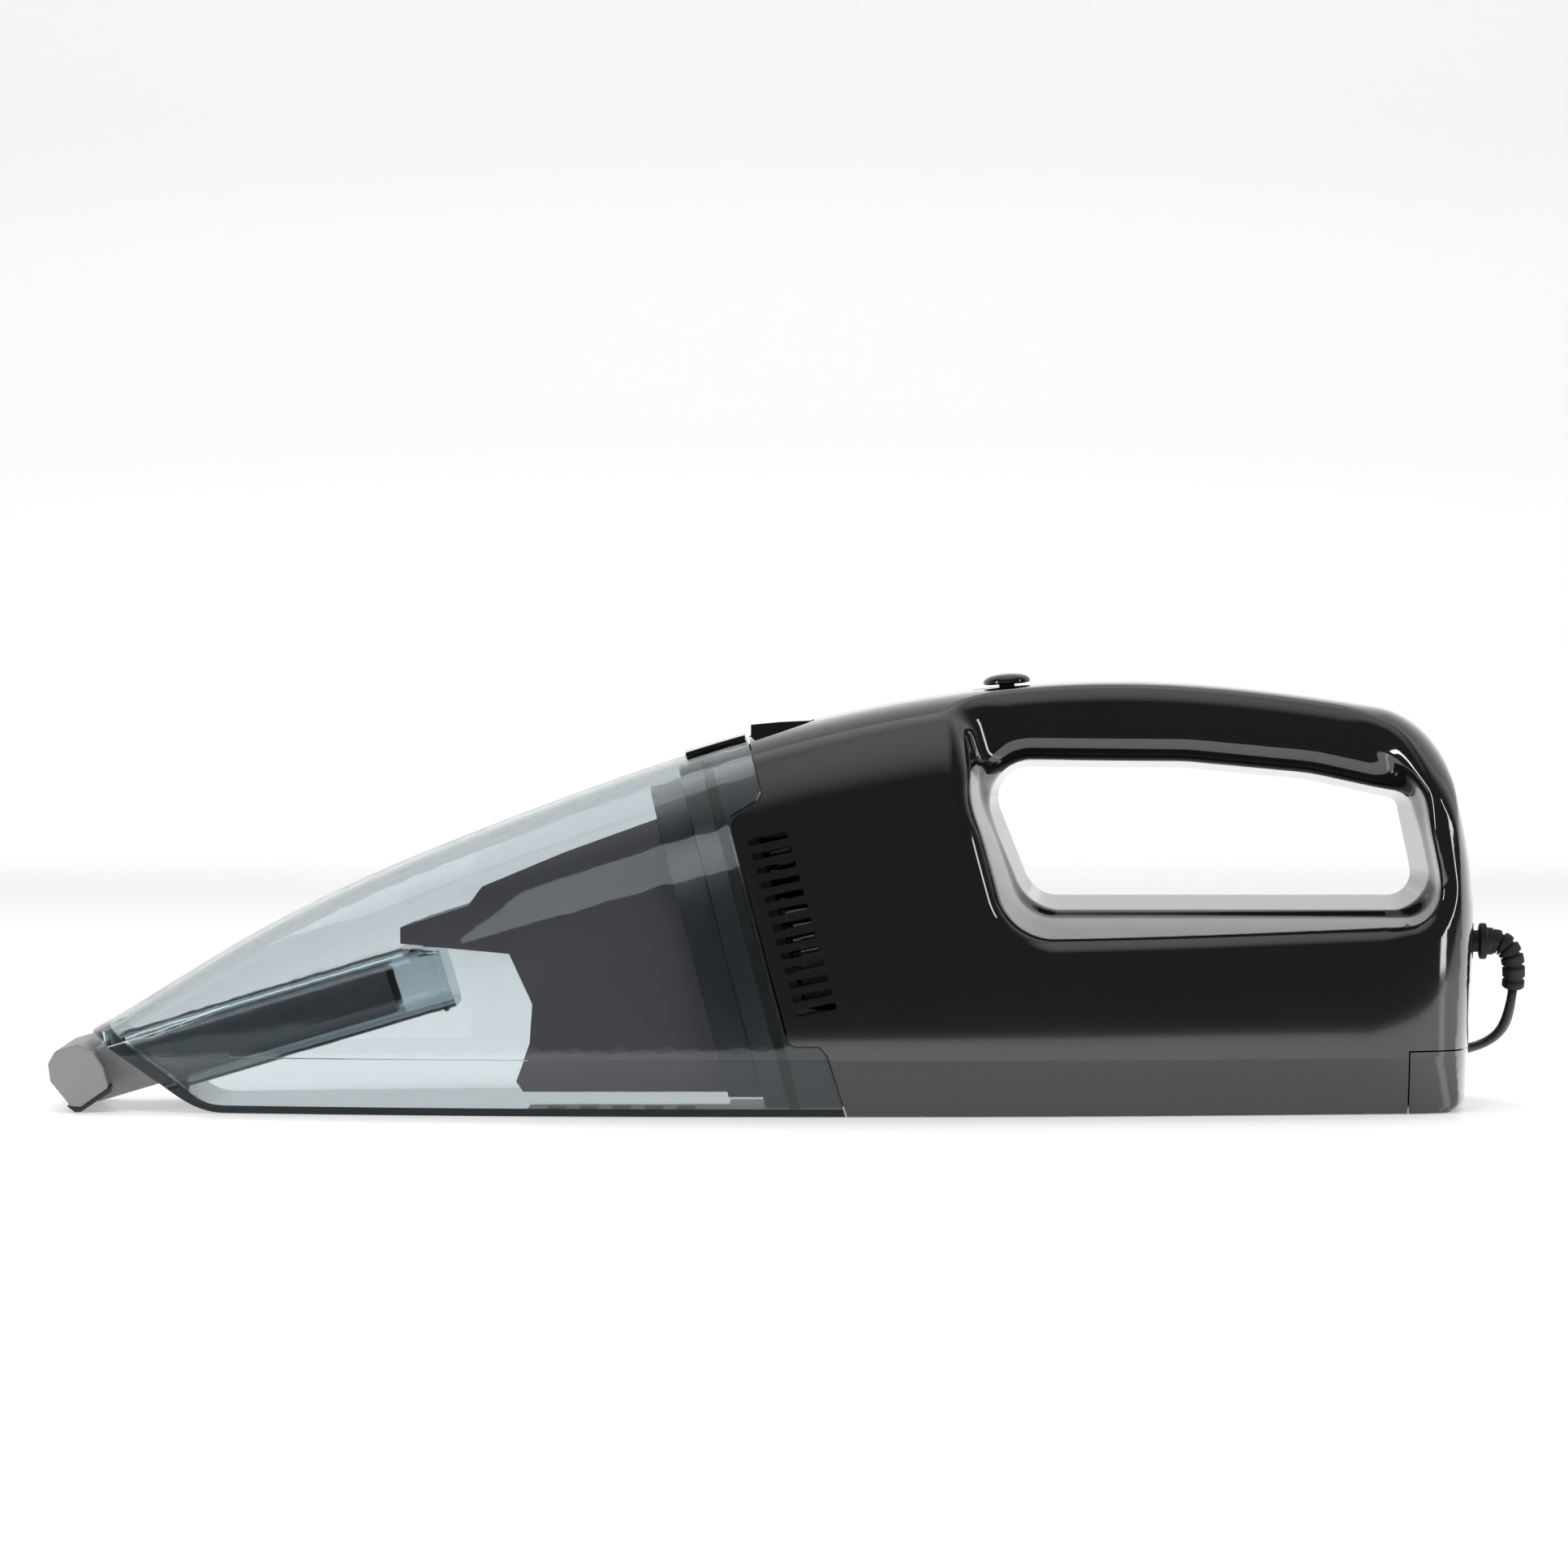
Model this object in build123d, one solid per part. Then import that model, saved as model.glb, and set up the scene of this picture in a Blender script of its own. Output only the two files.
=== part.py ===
from build123d import *
import os
from math import cos, sin, tan, radians

# Handheld car vacuum, millimetres. +X runs from the nozzle to the rear, +Z is up, and the object is
# symmetric about Y = 0. The origin is under the middle of the object, on the floor.

# ---- outer form -------------------------------------------------------------------------------
WALL = 2.2              # moulded shell thickness
GAP = 0.4               # clearance between separate mouldings
CREASE_Z = 14.7         # height of the crease where the skirt starts to lean in
SKIRT_IN = 6.0          # how far the skirt leans in on each side at the base
SQUARENESS = 0.72       # how square the shoulders are: 0.55 is an ellipse, 1 is a box
REACH = 70.0            # half-width of the side masks, beyond the widest place
SINK = 2.0              # the loft runs this far below the base, which a plane then cuts flat
# x, top height, half-width
STATIONS = [(-176.5, 19.8, 26.5), (-150, 35.5, 33), (-110, 57.2, 41), (-60, 77.7, 47.5), (-10, 94.8, 50),
            (40, 106.3, 50), (95, 110.6, 47), (140, 106.8, 41.5), (200, 96, 33)]

# ---- seam between bowl and housing ------------------------------------------------------------
TILT = 14.7             # lean of the seam, top forward
SEAM_X = 8.5            # where the seam crosses the height of the fan's axis
AXIS_Z = 45.0           # height of the fan's axis at the seam
SEAM = [(-8.6, 110), (-1.3, 82.3), (-2.6, 79.8), (-8.9, 76.0), (-9.4, 74.2), (5.5, 19.3), (7.0, 18.3),
        (13.2, 18.3), (15.3, 16.0), (20.3, 0), (21.6, -5)]

# ---- handle -----------------------------------------------------------------------------------
GRIP_HALF = 18.0        # half-width of the grip
OPENING_DRAFT = 9.0     # flare of the finger opening towards each side
RECESS_DRAFT = 14.0     # flare of the step between the wide body and the grip
OPENING = [(69.4, 54.9), (168.5, 54.9), (163.2, 79.8), (140, 84.9), (108, 87.9), (56.2, 88.3)]
OPENING_RADII = [9, 6, 2.5, 60, 60, 8]
RECESS = [(67.0, 51.6), (171.3, 51.6), (166.2, 77), (158, 106), (158, 135), (44, 135), (50.5, 106), (57, 84)]
RECESS_RADII = [9, 6, 30, 40, 1, 1, 40, 30]

# ---- screws -----------------------------------------------------------------------------------
SCREW_XZ = [(40, 96), (34, 8.5), (96, 22), (150, 24), (170.5, 84), (128, 97.3)]
SCREW_R = 1.45
SCREW_HOLE_R = 1.5
HEAD_R = 2.8
HEAD_Y = 10.0           # the heads sit this far out on the +Y side
BOSS_R = 4.6

# ---- side vents -------------------------------------------------------------------------------
VENT_COUNT = 13
VENT_PITCH = 3.6
VENT_SHIFT = 1.03       # each slot is this much further back than the one above
VENT_START = (0.1, 70.9)
VENT_SIZE = (10.2, 1.7)
VENT_TILT = 12.0

# ---- release button ---------------------------------------------------------------------------
BUTTON_PIVOT = (9.6, 98.0)
BUTTON_PIN_R = 1.0
BUTTON_PIN_HALF = 10.2
BUTTON_HALF = 8.0
BUTTON_CAP = [(-4.4, 95.2), (-4.4, 99.3), (3, 100.0), (11.5, 100.4), (11.5, 97.0), (8, 96.4)]
BUTTON_TONGUE = [(-12.6, 88.8), (-12.6, 90.3), (-5.2, 92.5), (-4.4, 95.6), (4, 96.2), (4, 94.2), (-4.6, 91.2)]
TONGUE_HALF = 5.0

# ---- power slide ------------------------------------------------------------------------------
KNOB_X = 62.1
KNOB_R = 6.2
KNOB_Z = 109.9          # underside of the knob's dome
KNOB_STEM_HALF = 2.0

# ---- rear end cap -----------------------------------------------------------------------------
CAP_X = 164.0           # front edge of the cap
CAP_TOP = 16.4
CAP_SCREW_X = 172.0

# ---- filter -----------------------------------------------------------------------------------
SHROUD = [(-94.0, 43.4), (-94.0, 47.4), (-76.7, 53.0), (-73.0, 57.8), (-52, 66.5), (-20, 78), (-5, 5.9),
          (-62.6, 5.9), (-64.4, 8.5), (-61.0, 18), (-60.3, 28), (-66.2, 40.9)]
SHROUD_HALF = 31.0
SHROUD_WALL = 1.6
CLOTH_WALL = 1.6
CLOTH_OUT = 3.6         # the cloth sits this far inside the shroud's outside

# ---- inlet ------------------------------------------------------------------------------------
DUCT_TILT = 16.5
DUCT_END = (-82.9, 35.6)
DUCT_HEIGHT = 18.5
DUCT_WIDTH = 42.0
DUCT_WALL = 1.8
NECK_HEIGHT = 13.4
NECK_WIDTH = 36.5
NECK_WALL = 1.8
NECK_TAIL = 15.0        # the neck ends this far inside the duct
HEAD_HALF = 27.0
HEAD = [(-177.4, 17.5), (-183.2, 15.8), (-185.0, 12.4), (-184.4, 8.0), (-179.2, 1.6), (-176.6, 1.4),
        (-169.5, 6.4), (-170.9, 11.6), (-173.5, 15.5)]
HEAD_RADII = [1.5, 2, 1.5, 1, 1, 1, 1, 1, 1]
LIP = [(-180.2, 1.6), (-178.2, 0.0), (-176.5, 0.1), (-169.6, 4.8), (-169.2, 6.6), (-176.7, 1.9)]
CHAMBER = [(-180.5, 12.5), (-180.5, 3.2), (-178.4, -2), (-173.6, -2), (-173.6, 12.5)]

# ---- motor and fan ----------------------------------------------------------------------------
FAN_R = 31.0
SHROUD_R = 35.0
CAN_R = 17.9
CAN_LENGTH = 50.0
SHAFT_R = 1.6

# ---- wires inside: supply to the switch, return from the motor, switch to the motor --------------
WIRE_R = 0.9
SUPPLY = [(178.2, -1.1, 42.8), (110, -1.1, 38), (74, -25, 34), (46, -26, 62), (42, -12, 84), (48.6, -3, 97.6)]
SUPPLY_RADII = [12, 12, 10, 8]
RETURN = [(178.2, 1.1, 42.8), (110, 1.1, 38), (84, 8, 39), (69, 8, 41.5), (64.9, 8, 49)]
RETURN_RADII = [12, 10, 3]
FEED = [(48.6, 3, 97.6), (43, 14, 86), (44, 25, 72), (52, 25, 50), (69, 18, 41.5), (71, -6, 41.5),
        (64.9, -8, 49)]
FEED_RADII = [6, 8, 8, 6, 3]

# ---- 12 V lead --------------------------------------------------------------------------------
CORD_R = 2.4
RELIEF_Z = 42.8
RELIEF_NECK_R = 2.85
CORD_ROUTE = [(194.2, 2.2, 31.2), (193.7, 6.6, 22.0), (189.8, 16.5, 15.7), (183, 34.9, 12.0),
              (164, 56, 7.0), (134, 65.0, 3.4), (116, 65.4, 2.9)]
COIL_CENTRE = (118, 103)
COIL_MEAN_R = 29.0
COIL_BUNDLE_R = 12.2
PLUG_Y = 78.0
PLUG_REAR_X = 78.0
PLUG_BODY_R = 12.0
PLUG_BARREL_R = 10.4

SIDE = Plane.XZ         # local x, y are the object's X, Z; its normal points to -Y
SEAM_PLANE = Plane(origin=(SEAM_X, 0, AXIS_Z), x_dir=(0, 1, 0),
                   z_dir=(cos(radians(TILT)), 0, sin(radians(TILT))))
DUCT_PLANE = Plane(origin=(DUCT_END[0], 0, DUCT_END[1]), x_dir=(0, 1, 0),
                   z_dir=(-cos(radians(DUCT_TILT)), 0, -sin(radians(DUCT_TILT))))
UPRIGHT = (Align.CENTER, Align.CENTER, Align.MIN)


# ---- helpers ----------------------------------------------------------------------------------
def block(x0, x1, y0, y1, z0, z1):
    return Pos(x0, y0, z0) * Box(x1 - x0, y1 - y0, z1 - z0, align=(Align.MIN,) * 3)


def side_prism(points, half, radii=None):
    """A side outline carried to both sides, from -half to +half in Y."""
    if radii is None:
        outline = Polyline(*points, close=True)
    else:
        outline = FilletPolyline(*points, radius=radii, close=True)
    return extrude(SIDE * make_face(outline), amount=half, both=True)


def disc(plane, start, end, radius):
    return plane.offset(start).location * Cylinder(radius, end - start, align=UPRIGHT)


def ring(plane, start, end, outer, inner):
    return disc(plane, start, end, outer) - disc(plane, start, end, inner)


def slab(start, end):
    """The space between two planes parallel to the seam."""
    return SEAM_PLANE.offset(start).location * Box(300, 400, end - start, align=UPRIGHT)


def pin_x(x0, x1, z, radius, y=0.0):
    return Pos(x0, y, z) * Rot(0, 90, 0) * Cylinder(radius, x1 - x0, align=UPRIGHT)


def pin_y(x, z, radius, y0, y1):
    return Pos(x, y0, z) * Rot(-90, 0, 0) * Cylinder(radius, y1 - y0, align=UPRIGHT)


def pin_z(x, z, height, radius):
    return Pos(x, 0, z) * Cylinder(radius, height, align=UPRIGHT)


def envelope_section(x, top, half, inset):
    side, roof = half - inset, top - inset
    rise = SQUARENESS * (roof - CREASE_Z)
    foot = side - SKIRT_IN * (CREASE_Z - inset + SINK) / CREASE_Z
    low = inset - SINK
    skirt = Polyline((-side, CREASE_Z), (-foot, low), (foot, low), (side, CREASE_Z))
    right = Bezier((side, CREASE_Z), (side, CREASE_Z + rise), (SQUARENESS * side, roof), (0, roof))
    left = Bezier((0, roof), (-SQUARENESS * side, roof), (-side, CREASE_Z + rise), (-side, CREASE_Z))
    return Plane.YZ.offset(x) * make_face([*skirt.edges(), right, left])


def side_mask(inset):
    """Side silhouette of the nose, base and rear; the roof is left to the loft."""
    def front(x, z):
        return (x + 1.2 * inset, z + inset)

    def rear(x, z):
        return (x - inset, z)

    base = inset
    edges = [
        *Polyline((-163, 140), front(-174.6, 20.4), front(-155.4, 6.9)).edges(),
        Bezier(front(-155.4, 6.9), front(-150, 2.9), (-146, base), (-139, base)),
        Line((-139, base), (177.2 - inset, base)),
        Bezier((177.2 - inset, base), (180 - inset, base), rear(181, base + 1.5), rear(181.3, base + 6)),
        Bezier(rear(181.3, base + 6), rear(183, 32), rear(187, 50), rear(184.2, 60), rear(178.3, 80.1)),
        Bezier(rear(178.3, 80.1), rear(174.5, 95), rear(172, 100.3), rear(160, 103.6)),
        *Polyline(rear(160, 103.6), (118, 116), (118, 140), (-163, 140)).edges(),
    ]
    return extrude(SIDE * make_face(edges), amount=REACH, both=True)


def plan_mask(inset):
    near = [
        Bezier((-176 + inset, 0), (-176 + inset, -36), (-160 + inset, -46), (-100, -60)),
        Line((-100, -60), (120, -60)),
        Bezier((120, -60), (175 - inset, -45 + inset), (187 - inset, -25), (187 - inset, 0)),
    ]
    far = [mirror(edge, Plane.XZ) for edge in near]
    return extrude(make_face([*near, *far]), amount=150)


def envelope(inset):
    """The whole outer form of bowl and housing, taken in by inset."""
    body = loft([envelope_section(x, top, half, inset) for x, top, half in STATIONS])
    return body & side_mask(inset) & plan_mask(inset)


def lofted(inset):
    """The loft behind the nose, without the nose and rear masks."""
    body = loft([envelope_section(x, top, half, inset) for x, top, half in STATIONS[2:]])
    return body & block(-300, 300, -REACH, REACH, inset, 150)


def both_sides(near):
    return near + mirror(near, Plane.XZ)


def finger_opening(grow):
    """The flared hole through the handle."""
    face = make_face(FilletPolyline(*OPENING, radius=OPENING_RADII, close=True))
    if grow:
        face = offset(face, amount=grow)
    near = extrude(SIDE * face, amount=REACH, taper=-OPENING_DRAFT)
    return both_sides(near)


def grip_recess(grow):
    """What is cut away beside the grip, from its flanks outwards."""
    face = make_face(FilletPolyline(*RECESS, radius=RECESS_RADII, close=True))
    if grow:
        face = offset(face, amount=grow)
    start = Plane(origin=(0, -(GRIP_HALF - grow), 0), x_dir=(1, 0, 0), z_dir=(0, -1, 0))
    near = extrude(start * face, amount=REACH - GRIP_HALF, taper=-RECESS_DRAFT)
    return both_sides(near)


def rear_of_seam(grow):
    face = make_face(Polyline(*SEAM, (260, -5), (260, 150), (-8.6, 150), close=True))
    if grow:
        face = offset(face, amount=grow, kind=Kind.INTERSECTION)
    return extrude(SIDE * face, amount=REACH, both=True)


def end_cap_block(grow):
    return block(CAP_X - grow, 200, -REACH, REACH, -5, CAP_TOP + grow)


# ---- housing ----------------------------------------------------------------------------------
def vent_slots():
    slots = []
    for number in range(VENT_COUNT):
        x = VENT_START[0] + VENT_SHIFT * number
        z = VENT_START[1] - VENT_PITCH * number
        slot = Pos(x, 0, z) * Rot(0, -VENT_TILT, 0) * Box(VENT_SIZE[0], 2 * REACH, VENT_SIZE[1])
        slots.append(slot)
    return slots


def button_cradle():
    """Two cheeks and a shelf that carry the release button's pin and spring."""
    shelf = block(-2, 13, -11, 11, 84.5, 86.5)
    cheeks = [block(-2, 13, y, y + 2.4, 84.5, 97) for y in (-11, 8.6)]
    return [shelf, *cheeks]


def motor_cradle(hollow):
    """Ribs that hold the rubber ring round the motor."""
    rib = slab(38.5, 41.5) & hollow & block(0, 100, -REACH, REACH, 0, 44)
    return rib - disc(SEAM_PLANE, 30, 50, CAN_R + 3.0)


def screw_bosses(outer):
    return [pin_y(x, z, BOSS_R, -REACH, REACH) & outer for x, z in SCREW_XZ]


def housing_shell(outer_form):
    rear = rear_of_seam(0)
    outer = outer_form & rear
    outer = outer - finger_opening(0) - grip_recess(0) - end_cap_block(0.0)
    hollow = envelope(WALL) - finger_opening(WALL) - grip_recess(WALL) - end_cap_block(WALL)
    shell = outer - hollow
    shell = shell + (motor_cradle(hollow) & outer)
    for boss in screw_bosses(outer):
        shell = shell + boss
    for piece in button_cradle():
        shell = shell + piece
    for x, z in SCREW_XZ:
        shell = shell - pin_y(x, z, SCREW_HOLE_R, -HEAD_Y, HEAD_Y)
        shell = shell - pin_y(x, z, HEAD_R + 0.3, HEAD_Y, REACH)
    for slot in vent_slots():
        shell = shell - slot
    shell = shell - button_pocket() - button_pin()
    shell = shell - knob_slot()
    shell = shell - pin_x(170, 190, RELIEF_Z, RELIEF_NECK_R + 0.05)
    return shell - pin_z(CAP_SCREW_X, 11, 10, SCREW_HOLE_R)


def split_halves(shell):
    left = shell & block(-300, 300, -REACH, 0, -10, 150)
    right = shell & block(-300, 300, 0, REACH, -10, 150)
    return left, right


# ---- release button ---------------------------------------------------------------------------
def button_pocket():
    return block(-9, 12.0, -BUTTON_HALF - 0.5, BUTTON_HALF + 0.5, 90, 104)


def release_button():
    body = side_prism(BUTTON_CAP, BUTTON_HALF) + side_prism(BUTTON_TONGUE, TONGUE_HALF)
    return body - pin_y(*BUTTON_PIVOT, BUTTON_PIN_R + 0.08, -12, 12)


def button_pin():
    return pin_y(*BUTTON_PIVOT, BUTTON_PIN_R, -BUTTON_PIN_HALF, BUTTON_PIN_HALF)


def release_spring():
    coil = Helix(pitch=1.1, height=4.4, radius=2.6)
    wire = sweep(Plane(coil @ 0, z_dir=coil % 0) * Circle(0.35), path=coil, is_frenet=True)
    return Pos(2.2, 0, 86.9) * wire


# ---- bowl -------------------------------------------------------------------------------------
def duct_body(height, width, start, end, corner):
    face = RectangleRounded(width, height, corner)
    return extrude(DUCT_PLANE.offset(start) * face, amount=end - start)


def beak_clearance():
    return side_prism([(-94.8, 60), (-94.8, 41.6), (-60, 39.9), (-60, 60)], REACH)


def inlet_duct():
    outer = duct_body(DUCT_HEIGHT, DUCT_WIDTH, 0, 100, 6)
    bore = duct_body(DUCT_HEIGHT - 2 * DUCT_WALL, DUCT_WIDTH - 2 * DUCT_WALL, -1, 101, 4.2)
    lip = duct_body(DUCT_HEIGHT + 1.2, DUCT_WIDTH + 1.2, 2.0, 3.2, 6.6)
    tube = (outer & envelope(WALL + 0.05)) + (lip - outer)
    return tube - bore - beak_clearance()


def dust_bowl(outer_form):
    shell = (outer_form - envelope(WALL)) - rear_of_seam(GAP)
    mouth = duct_body(DUCT_HEIGHT - 2 * DUCT_WALL, DUCT_WIDTH - 2 * DUCT_WALL, 60, 120, 4.2)
    return shell - mouth


def bowl_catch_plate():
    strip = block(-21.3, -5.9, -9, 9, 80, 110)
    return (lofted(-1.2) & strip) - lofted(-0.1)


# ---- wet nozzle -------------------------------------------------------------------------------
def wet_nozzle():
    head = side_prism(HEAD, HEAD_HALF, HEAD_RADII)
    neck = duct_body(NECK_HEIGHT, NECK_WIDTH, NECK_TAIL, 96, 5)
    bore = duct_body(NECK_HEIGHT - 2 * NECK_WALL, NECK_WIDTH - 2 * NECK_WALL, NECK_TAIL - 1, 97, 3.2)
    chamber = side_prism(CHAMBER, HEAD_HALF - 2)
    return head + neck - bore - chamber - lip_strip()


def lip_strip():
    return side_prism(LIP, HEAD_HALF - 0.6)


def squeegee_lip():
    return lip_strip() - block(-178.4, -173.6, -HEAD_HALF + 2, HEAD_HALF - 2, -2, 8)


# ---- filter -----------------------------------------------------------------------------------
def filter_form(inset, half, front, back):
    """The filter's side outline, taken in by inset and kept between two planes along the seam."""
    face = offset(make_face(Polyline(*SHROUD, close=True)), amount=-inset, kind=Kind.INTERSECTION)
    form = extrude(SIDE * face, amount=half, both=True)
    return form & slab(front, back)


def filter_shroud():
    inside = filter_form(SHROUD_WALL, SHROUD_HALF - SHROUD_WALL, -120, 0)
    shell = filter_form(0, SHROUD_HALF, -120, -28.0) - inside
    for number in range(5):
        x = -58 + 8.5 * number
        shell = shell - block(x, x + 5, -SHROUD_HALF + 6, SHROUD_HALF - 6, 0, 9)
    return shell


def filter_cloth():
    inner = CLOTH_OUT + CLOTH_WALL
    outside = filter_form(CLOTH_OUT, SHROUD_HALF - CLOTH_OUT, -70, -28.0)
    return outside - filter_form(inner, SHROUD_HALF - inner, -68.6, 0)


def filter_frame():
    tray = lofted(5.2) & slab(-27.9, -19.6)
    hollow = lofted(7.6) & slab(-25.5, -19)
    inner = CLOTH_OUT + CLOTH_WALL
    window = filter_form(inner, SHROUD_HALF - inner, -40, 0)
    return tray - hollow - window


# ---- front bulkhead and seal ------------------------------------------------------------------
def front_bulkhead():
    plate = lofted(WALL + GAP) & slab(-19.4, -16.4)
    rim = (lofted(WALL + GAP) - lofted(WALL + GAP + 2.5)) & slab(-16.5, 3.5)
    part = plate + rim - disc(SEAM_PLANE, -30, 0, 20)
    part = part - (slab(-13.6, -10.9) - lofted(WALL + GAP + 1.5))
    part = part - block(-14.4, 40, -11.6, 11.6, 80, 120)
    vents = block(-14, 30, -REACH, REACH, 21, 74) & slab(-10.0, 20)
    return part - vents


def bowl_seal():
    band = (lofted(WALL + 0.3) - lofted(WALL + GAP + 1.5)) & slab(-13.5, -11.0)
    return band


# ---- motor and fan ----------------------------------------------------------------------------
def fan_shroud():
    cup = ring(SEAM_PLANE, -15.4, -1.4, SHROUD_R, SHROUD_R - 1.8)
    back = ring(SEAM_PLANE, -3.2, -1.4, SHROUD_R, 7)
    part = cup + back
    for number in range(8):
        turn = SEAM_PLANE.location * Rot(0, 0, 22.5 + 45 * number)
        part = part - turn * Pos(SHROUD_R, 0, -9) * Box(10, 14, 6)
    return part


def impeller():
    back = disc(SEAM_PLANE, -5.6, -4.4, FAN_R)
    eye = ring(SEAM_PLANE, -13.6, -12.8, FAN_R, 15)
    hub = disc(SEAM_PLANE, -12.8, -4.4, 5)
    part = back + eye + hub
    for number in range(9):
        blade = Rot(0, 0, 40 * number) * Pos(17.5, 0, -9.2) * Rot(0, 0, 28) * Box(24, 1.2, 7.2)
        part = part + SEAM_PLANE.location * blade
    return part - disc(SEAM_PLANE, -20, 0, SHAFT_R)


def motor_can():
    tube = ring(SEAM_PLANE, 0, CAN_LENGTH, CAN_R, CAN_R - 1.2)
    face = ring(SEAM_PLANE, 0, 1.4, CAN_R, 3.2)
    return tube + face


def motor_magnets():
    band = ring(SEAM_PLANE, 6, 40, CAN_R - 1.2, CAN_R - 5)
    gap = SEAM_PLANE.offset(5).location * Box(9, 60, 36, align=UPRIGHT)
    return band - gap


def armature():
    core = disc(SEAM_PLANE, 8, 36, CAN_R - 5.6)
    for number in range(5):
        turn = SEAM_PLANE.location * Rot(0, 0, 72 * number)
        core = core - turn * Pos(CAN_R - 8.4, 0, 22) * Box(7, 3.2, 40)
    return core - disc(SEAM_PLANE, 0, 50, SHAFT_R)


def commutator():
    return ring(SEAM_PLANE, 37, 45, 5, SHAFT_R)


def motor_shaft():
    return disc(SEAM_PLANE, -12.7, 52, SHAFT_R)


def front_bearing():
    return ring(SEAM_PLANE, 0, 4, 3.2, SHAFT_R + 0.02)


def motor_end_bell():
    bell = disc(SEAM_PLANE, CAN_LENGTH, CAN_LENGTH + 2.5, CAN_R) + ring(SEAM_PLANE, 46, CAN_LENGTH, 8, 6)
    return bell - disc(SEAM_PLANE, 40, 60, SHAFT_R + 0.02)


def motor_terminals():
    tabs = [SEAM_PLANE.location * Pos(side * 11, 0, CAN_LENGTH + 2.5) * Box(3.2, 0.6, 4, align=UPRIGHT)
            for side in (-1, 1)]
    return Compound(children=tabs)


def motor_mount_ring():
    return ring(SEAM_PLANE, 36.5, 43.5, CAN_R + 2.4, CAN_R) + ring(SEAM_PLANE, 36.5, 38.2, CAN_R + 4, CAN_R)


# ---- switch and wiring ------------------------------------------------------------------------
def power_knob():
    skirt = pin_z(KNOB_X, KNOB_Z, 1.6, KNOB_R)
    dome = Pos(KNOB_X, 0, KNOB_Z + 1.6) * Cone(KNOB_R, 3.6, 1.2, align=UPRIGHT)
    half = KNOB_STEM_HALF
    part = skirt + dome + block(KNOB_X - half, KNOB_X + half, -half, half, 103.2, KNOB_Z + 0.3)
    for number in range(5):
        x = KNOB_X + 1.9 * (number - 2)
        part = part - block(x - 0.4, x + 0.4, -8, 8, KNOB_Z + 2.3, KNOB_Z + 4)
    return part


def knob_slot():
    """The slot lets the knob's stem move 6 mm forward."""
    side = KNOB_STEM_HALF + 0.4
    return block(KNOB_X - side - 6.3, KNOB_X + side + 0.3, -side, side, 100, 120)


def switch_body():
    return block(50, 72, -6.5, 6.5, 96, 102.9)


def tube_along(points, radii, radius):
    path = FilletPolyline(*points, radius=radii)
    return sweep(Plane(path @ 0, z_dir=path % 0) * Circle(radius), path=path)


def wiring():
    wires = [tube_along(points, radii, WIRE_R) for points, radii in ((SUPPLY, SUPPLY_RADII),
             (RETURN, RETURN_RADII), (FEED, FEED_RADII))]
    return Compound(children=wires)


# ---- rear end ---------------------------------------------------------------------------------
def rear_end_cap(outer_form):
    body = outer_form & end_cap_block(-GAP)
    hollow = envelope(WALL - 0.2) & end_cap_block(-GAP - 2)
    part = body - hollow + pin_z(CAP_SCREW_X, 1, CAP_TOP - 1.5, 4.2)
    return part - pin_z(CAP_SCREW_X, -1, 30, SCREW_HOLE_R) - pin_z(CAP_SCREW_X, -1, 4.5, HEAD_R + 0.3)


def end_cap_screw():
    return pin_z(CAP_SCREW_X, 1.2, 2.3, HEAD_R) + pin_z(CAP_SCREW_X, 3.5, 14, SCREW_R)


def strain_relief():
    flange = pin_x(185.1, 187.0, RELIEF_Z, 4.6) + pin_x(187.0, 188.8, RELIEF_Z, 3.5)
    neck = pin_x(178.5, 185.1, RELIEF_Z, RELIEF_NECK_R)
    lock = pin_x(178.5, 180.0, RELIEF_Z, 4.2)
    end, before = Vector(*CORD_ROUTE[0]), Vector(*CORD_ROUTE[1])
    path = Bezier((188.8, 0, RELIEF_Z), (193.4, 0, RELIEF_Z), end + (end - before) * 0.8, end)
    boot = sweep(Plane(path @ 0, z_dir=path % 0) * Circle(2.5), path=path)
    part = flange + neck + lock + boot
    for number in range(5):
        place = Plane(path @ (0.18 + 0.19 * number), z_dir=path % (0.18 + 0.19 * number))
        part = part + place.location * Cylinder(3.1 - 0.06 * number, 1.3)
    return part


# ---- lead, coil and plug ----------------------------------------------------------------------
def route_radii(points):
    """One bend radius per corner, from the shorter run and the turn."""
    radii = []
    for before, corner, after in zip(points, points[1:], points[2:]):
        inward, outward = Vector(corner) - Vector(before), Vector(after) - Vector(corner)
        shorter = min(inward.length, outward.length)
        radii.append(0.45 * shorter / tan(radians(inward.get_angle(outward)) / 2))
    return radii


def cord():
    return tube_along(CORD_ROUTE, route_radii(CORD_ROUTE), CORD_R)


def cord_coil():
    return Pos(*COIL_CENTRE, COIL_BUNDLE_R) * Torus(COIL_MEAN_R, COIL_BUNDLE_R)


def plug_pin(x0, x1, radius):
    """A round stretch of the plug; x counts forward from the plug's rear face."""
    return pin_x(PLUG_REAR_X - x1, PLUG_REAR_X - x0, PLUG_BODY_R, radius, PLUG_Y)


def plug_body():
    grip = plug_pin(6, 32, PLUG_BODY_R)
    boot = plug_pin(0, 6, 5)
    barrel = plug_pin(32, 56, PLUG_BARREL_R)
    part = grip + boot + barrel
    part = part - plug_pin(15, 60, 7.4)
    slots = block(PLUG_REAR_X - 52, PLUG_REAR_X - 36, PLUG_Y - 20, PLUG_Y + 20, PLUG_BODY_R - 2.6,
                  PLUG_BODY_R + 2.6)
    return part - slots


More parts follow.
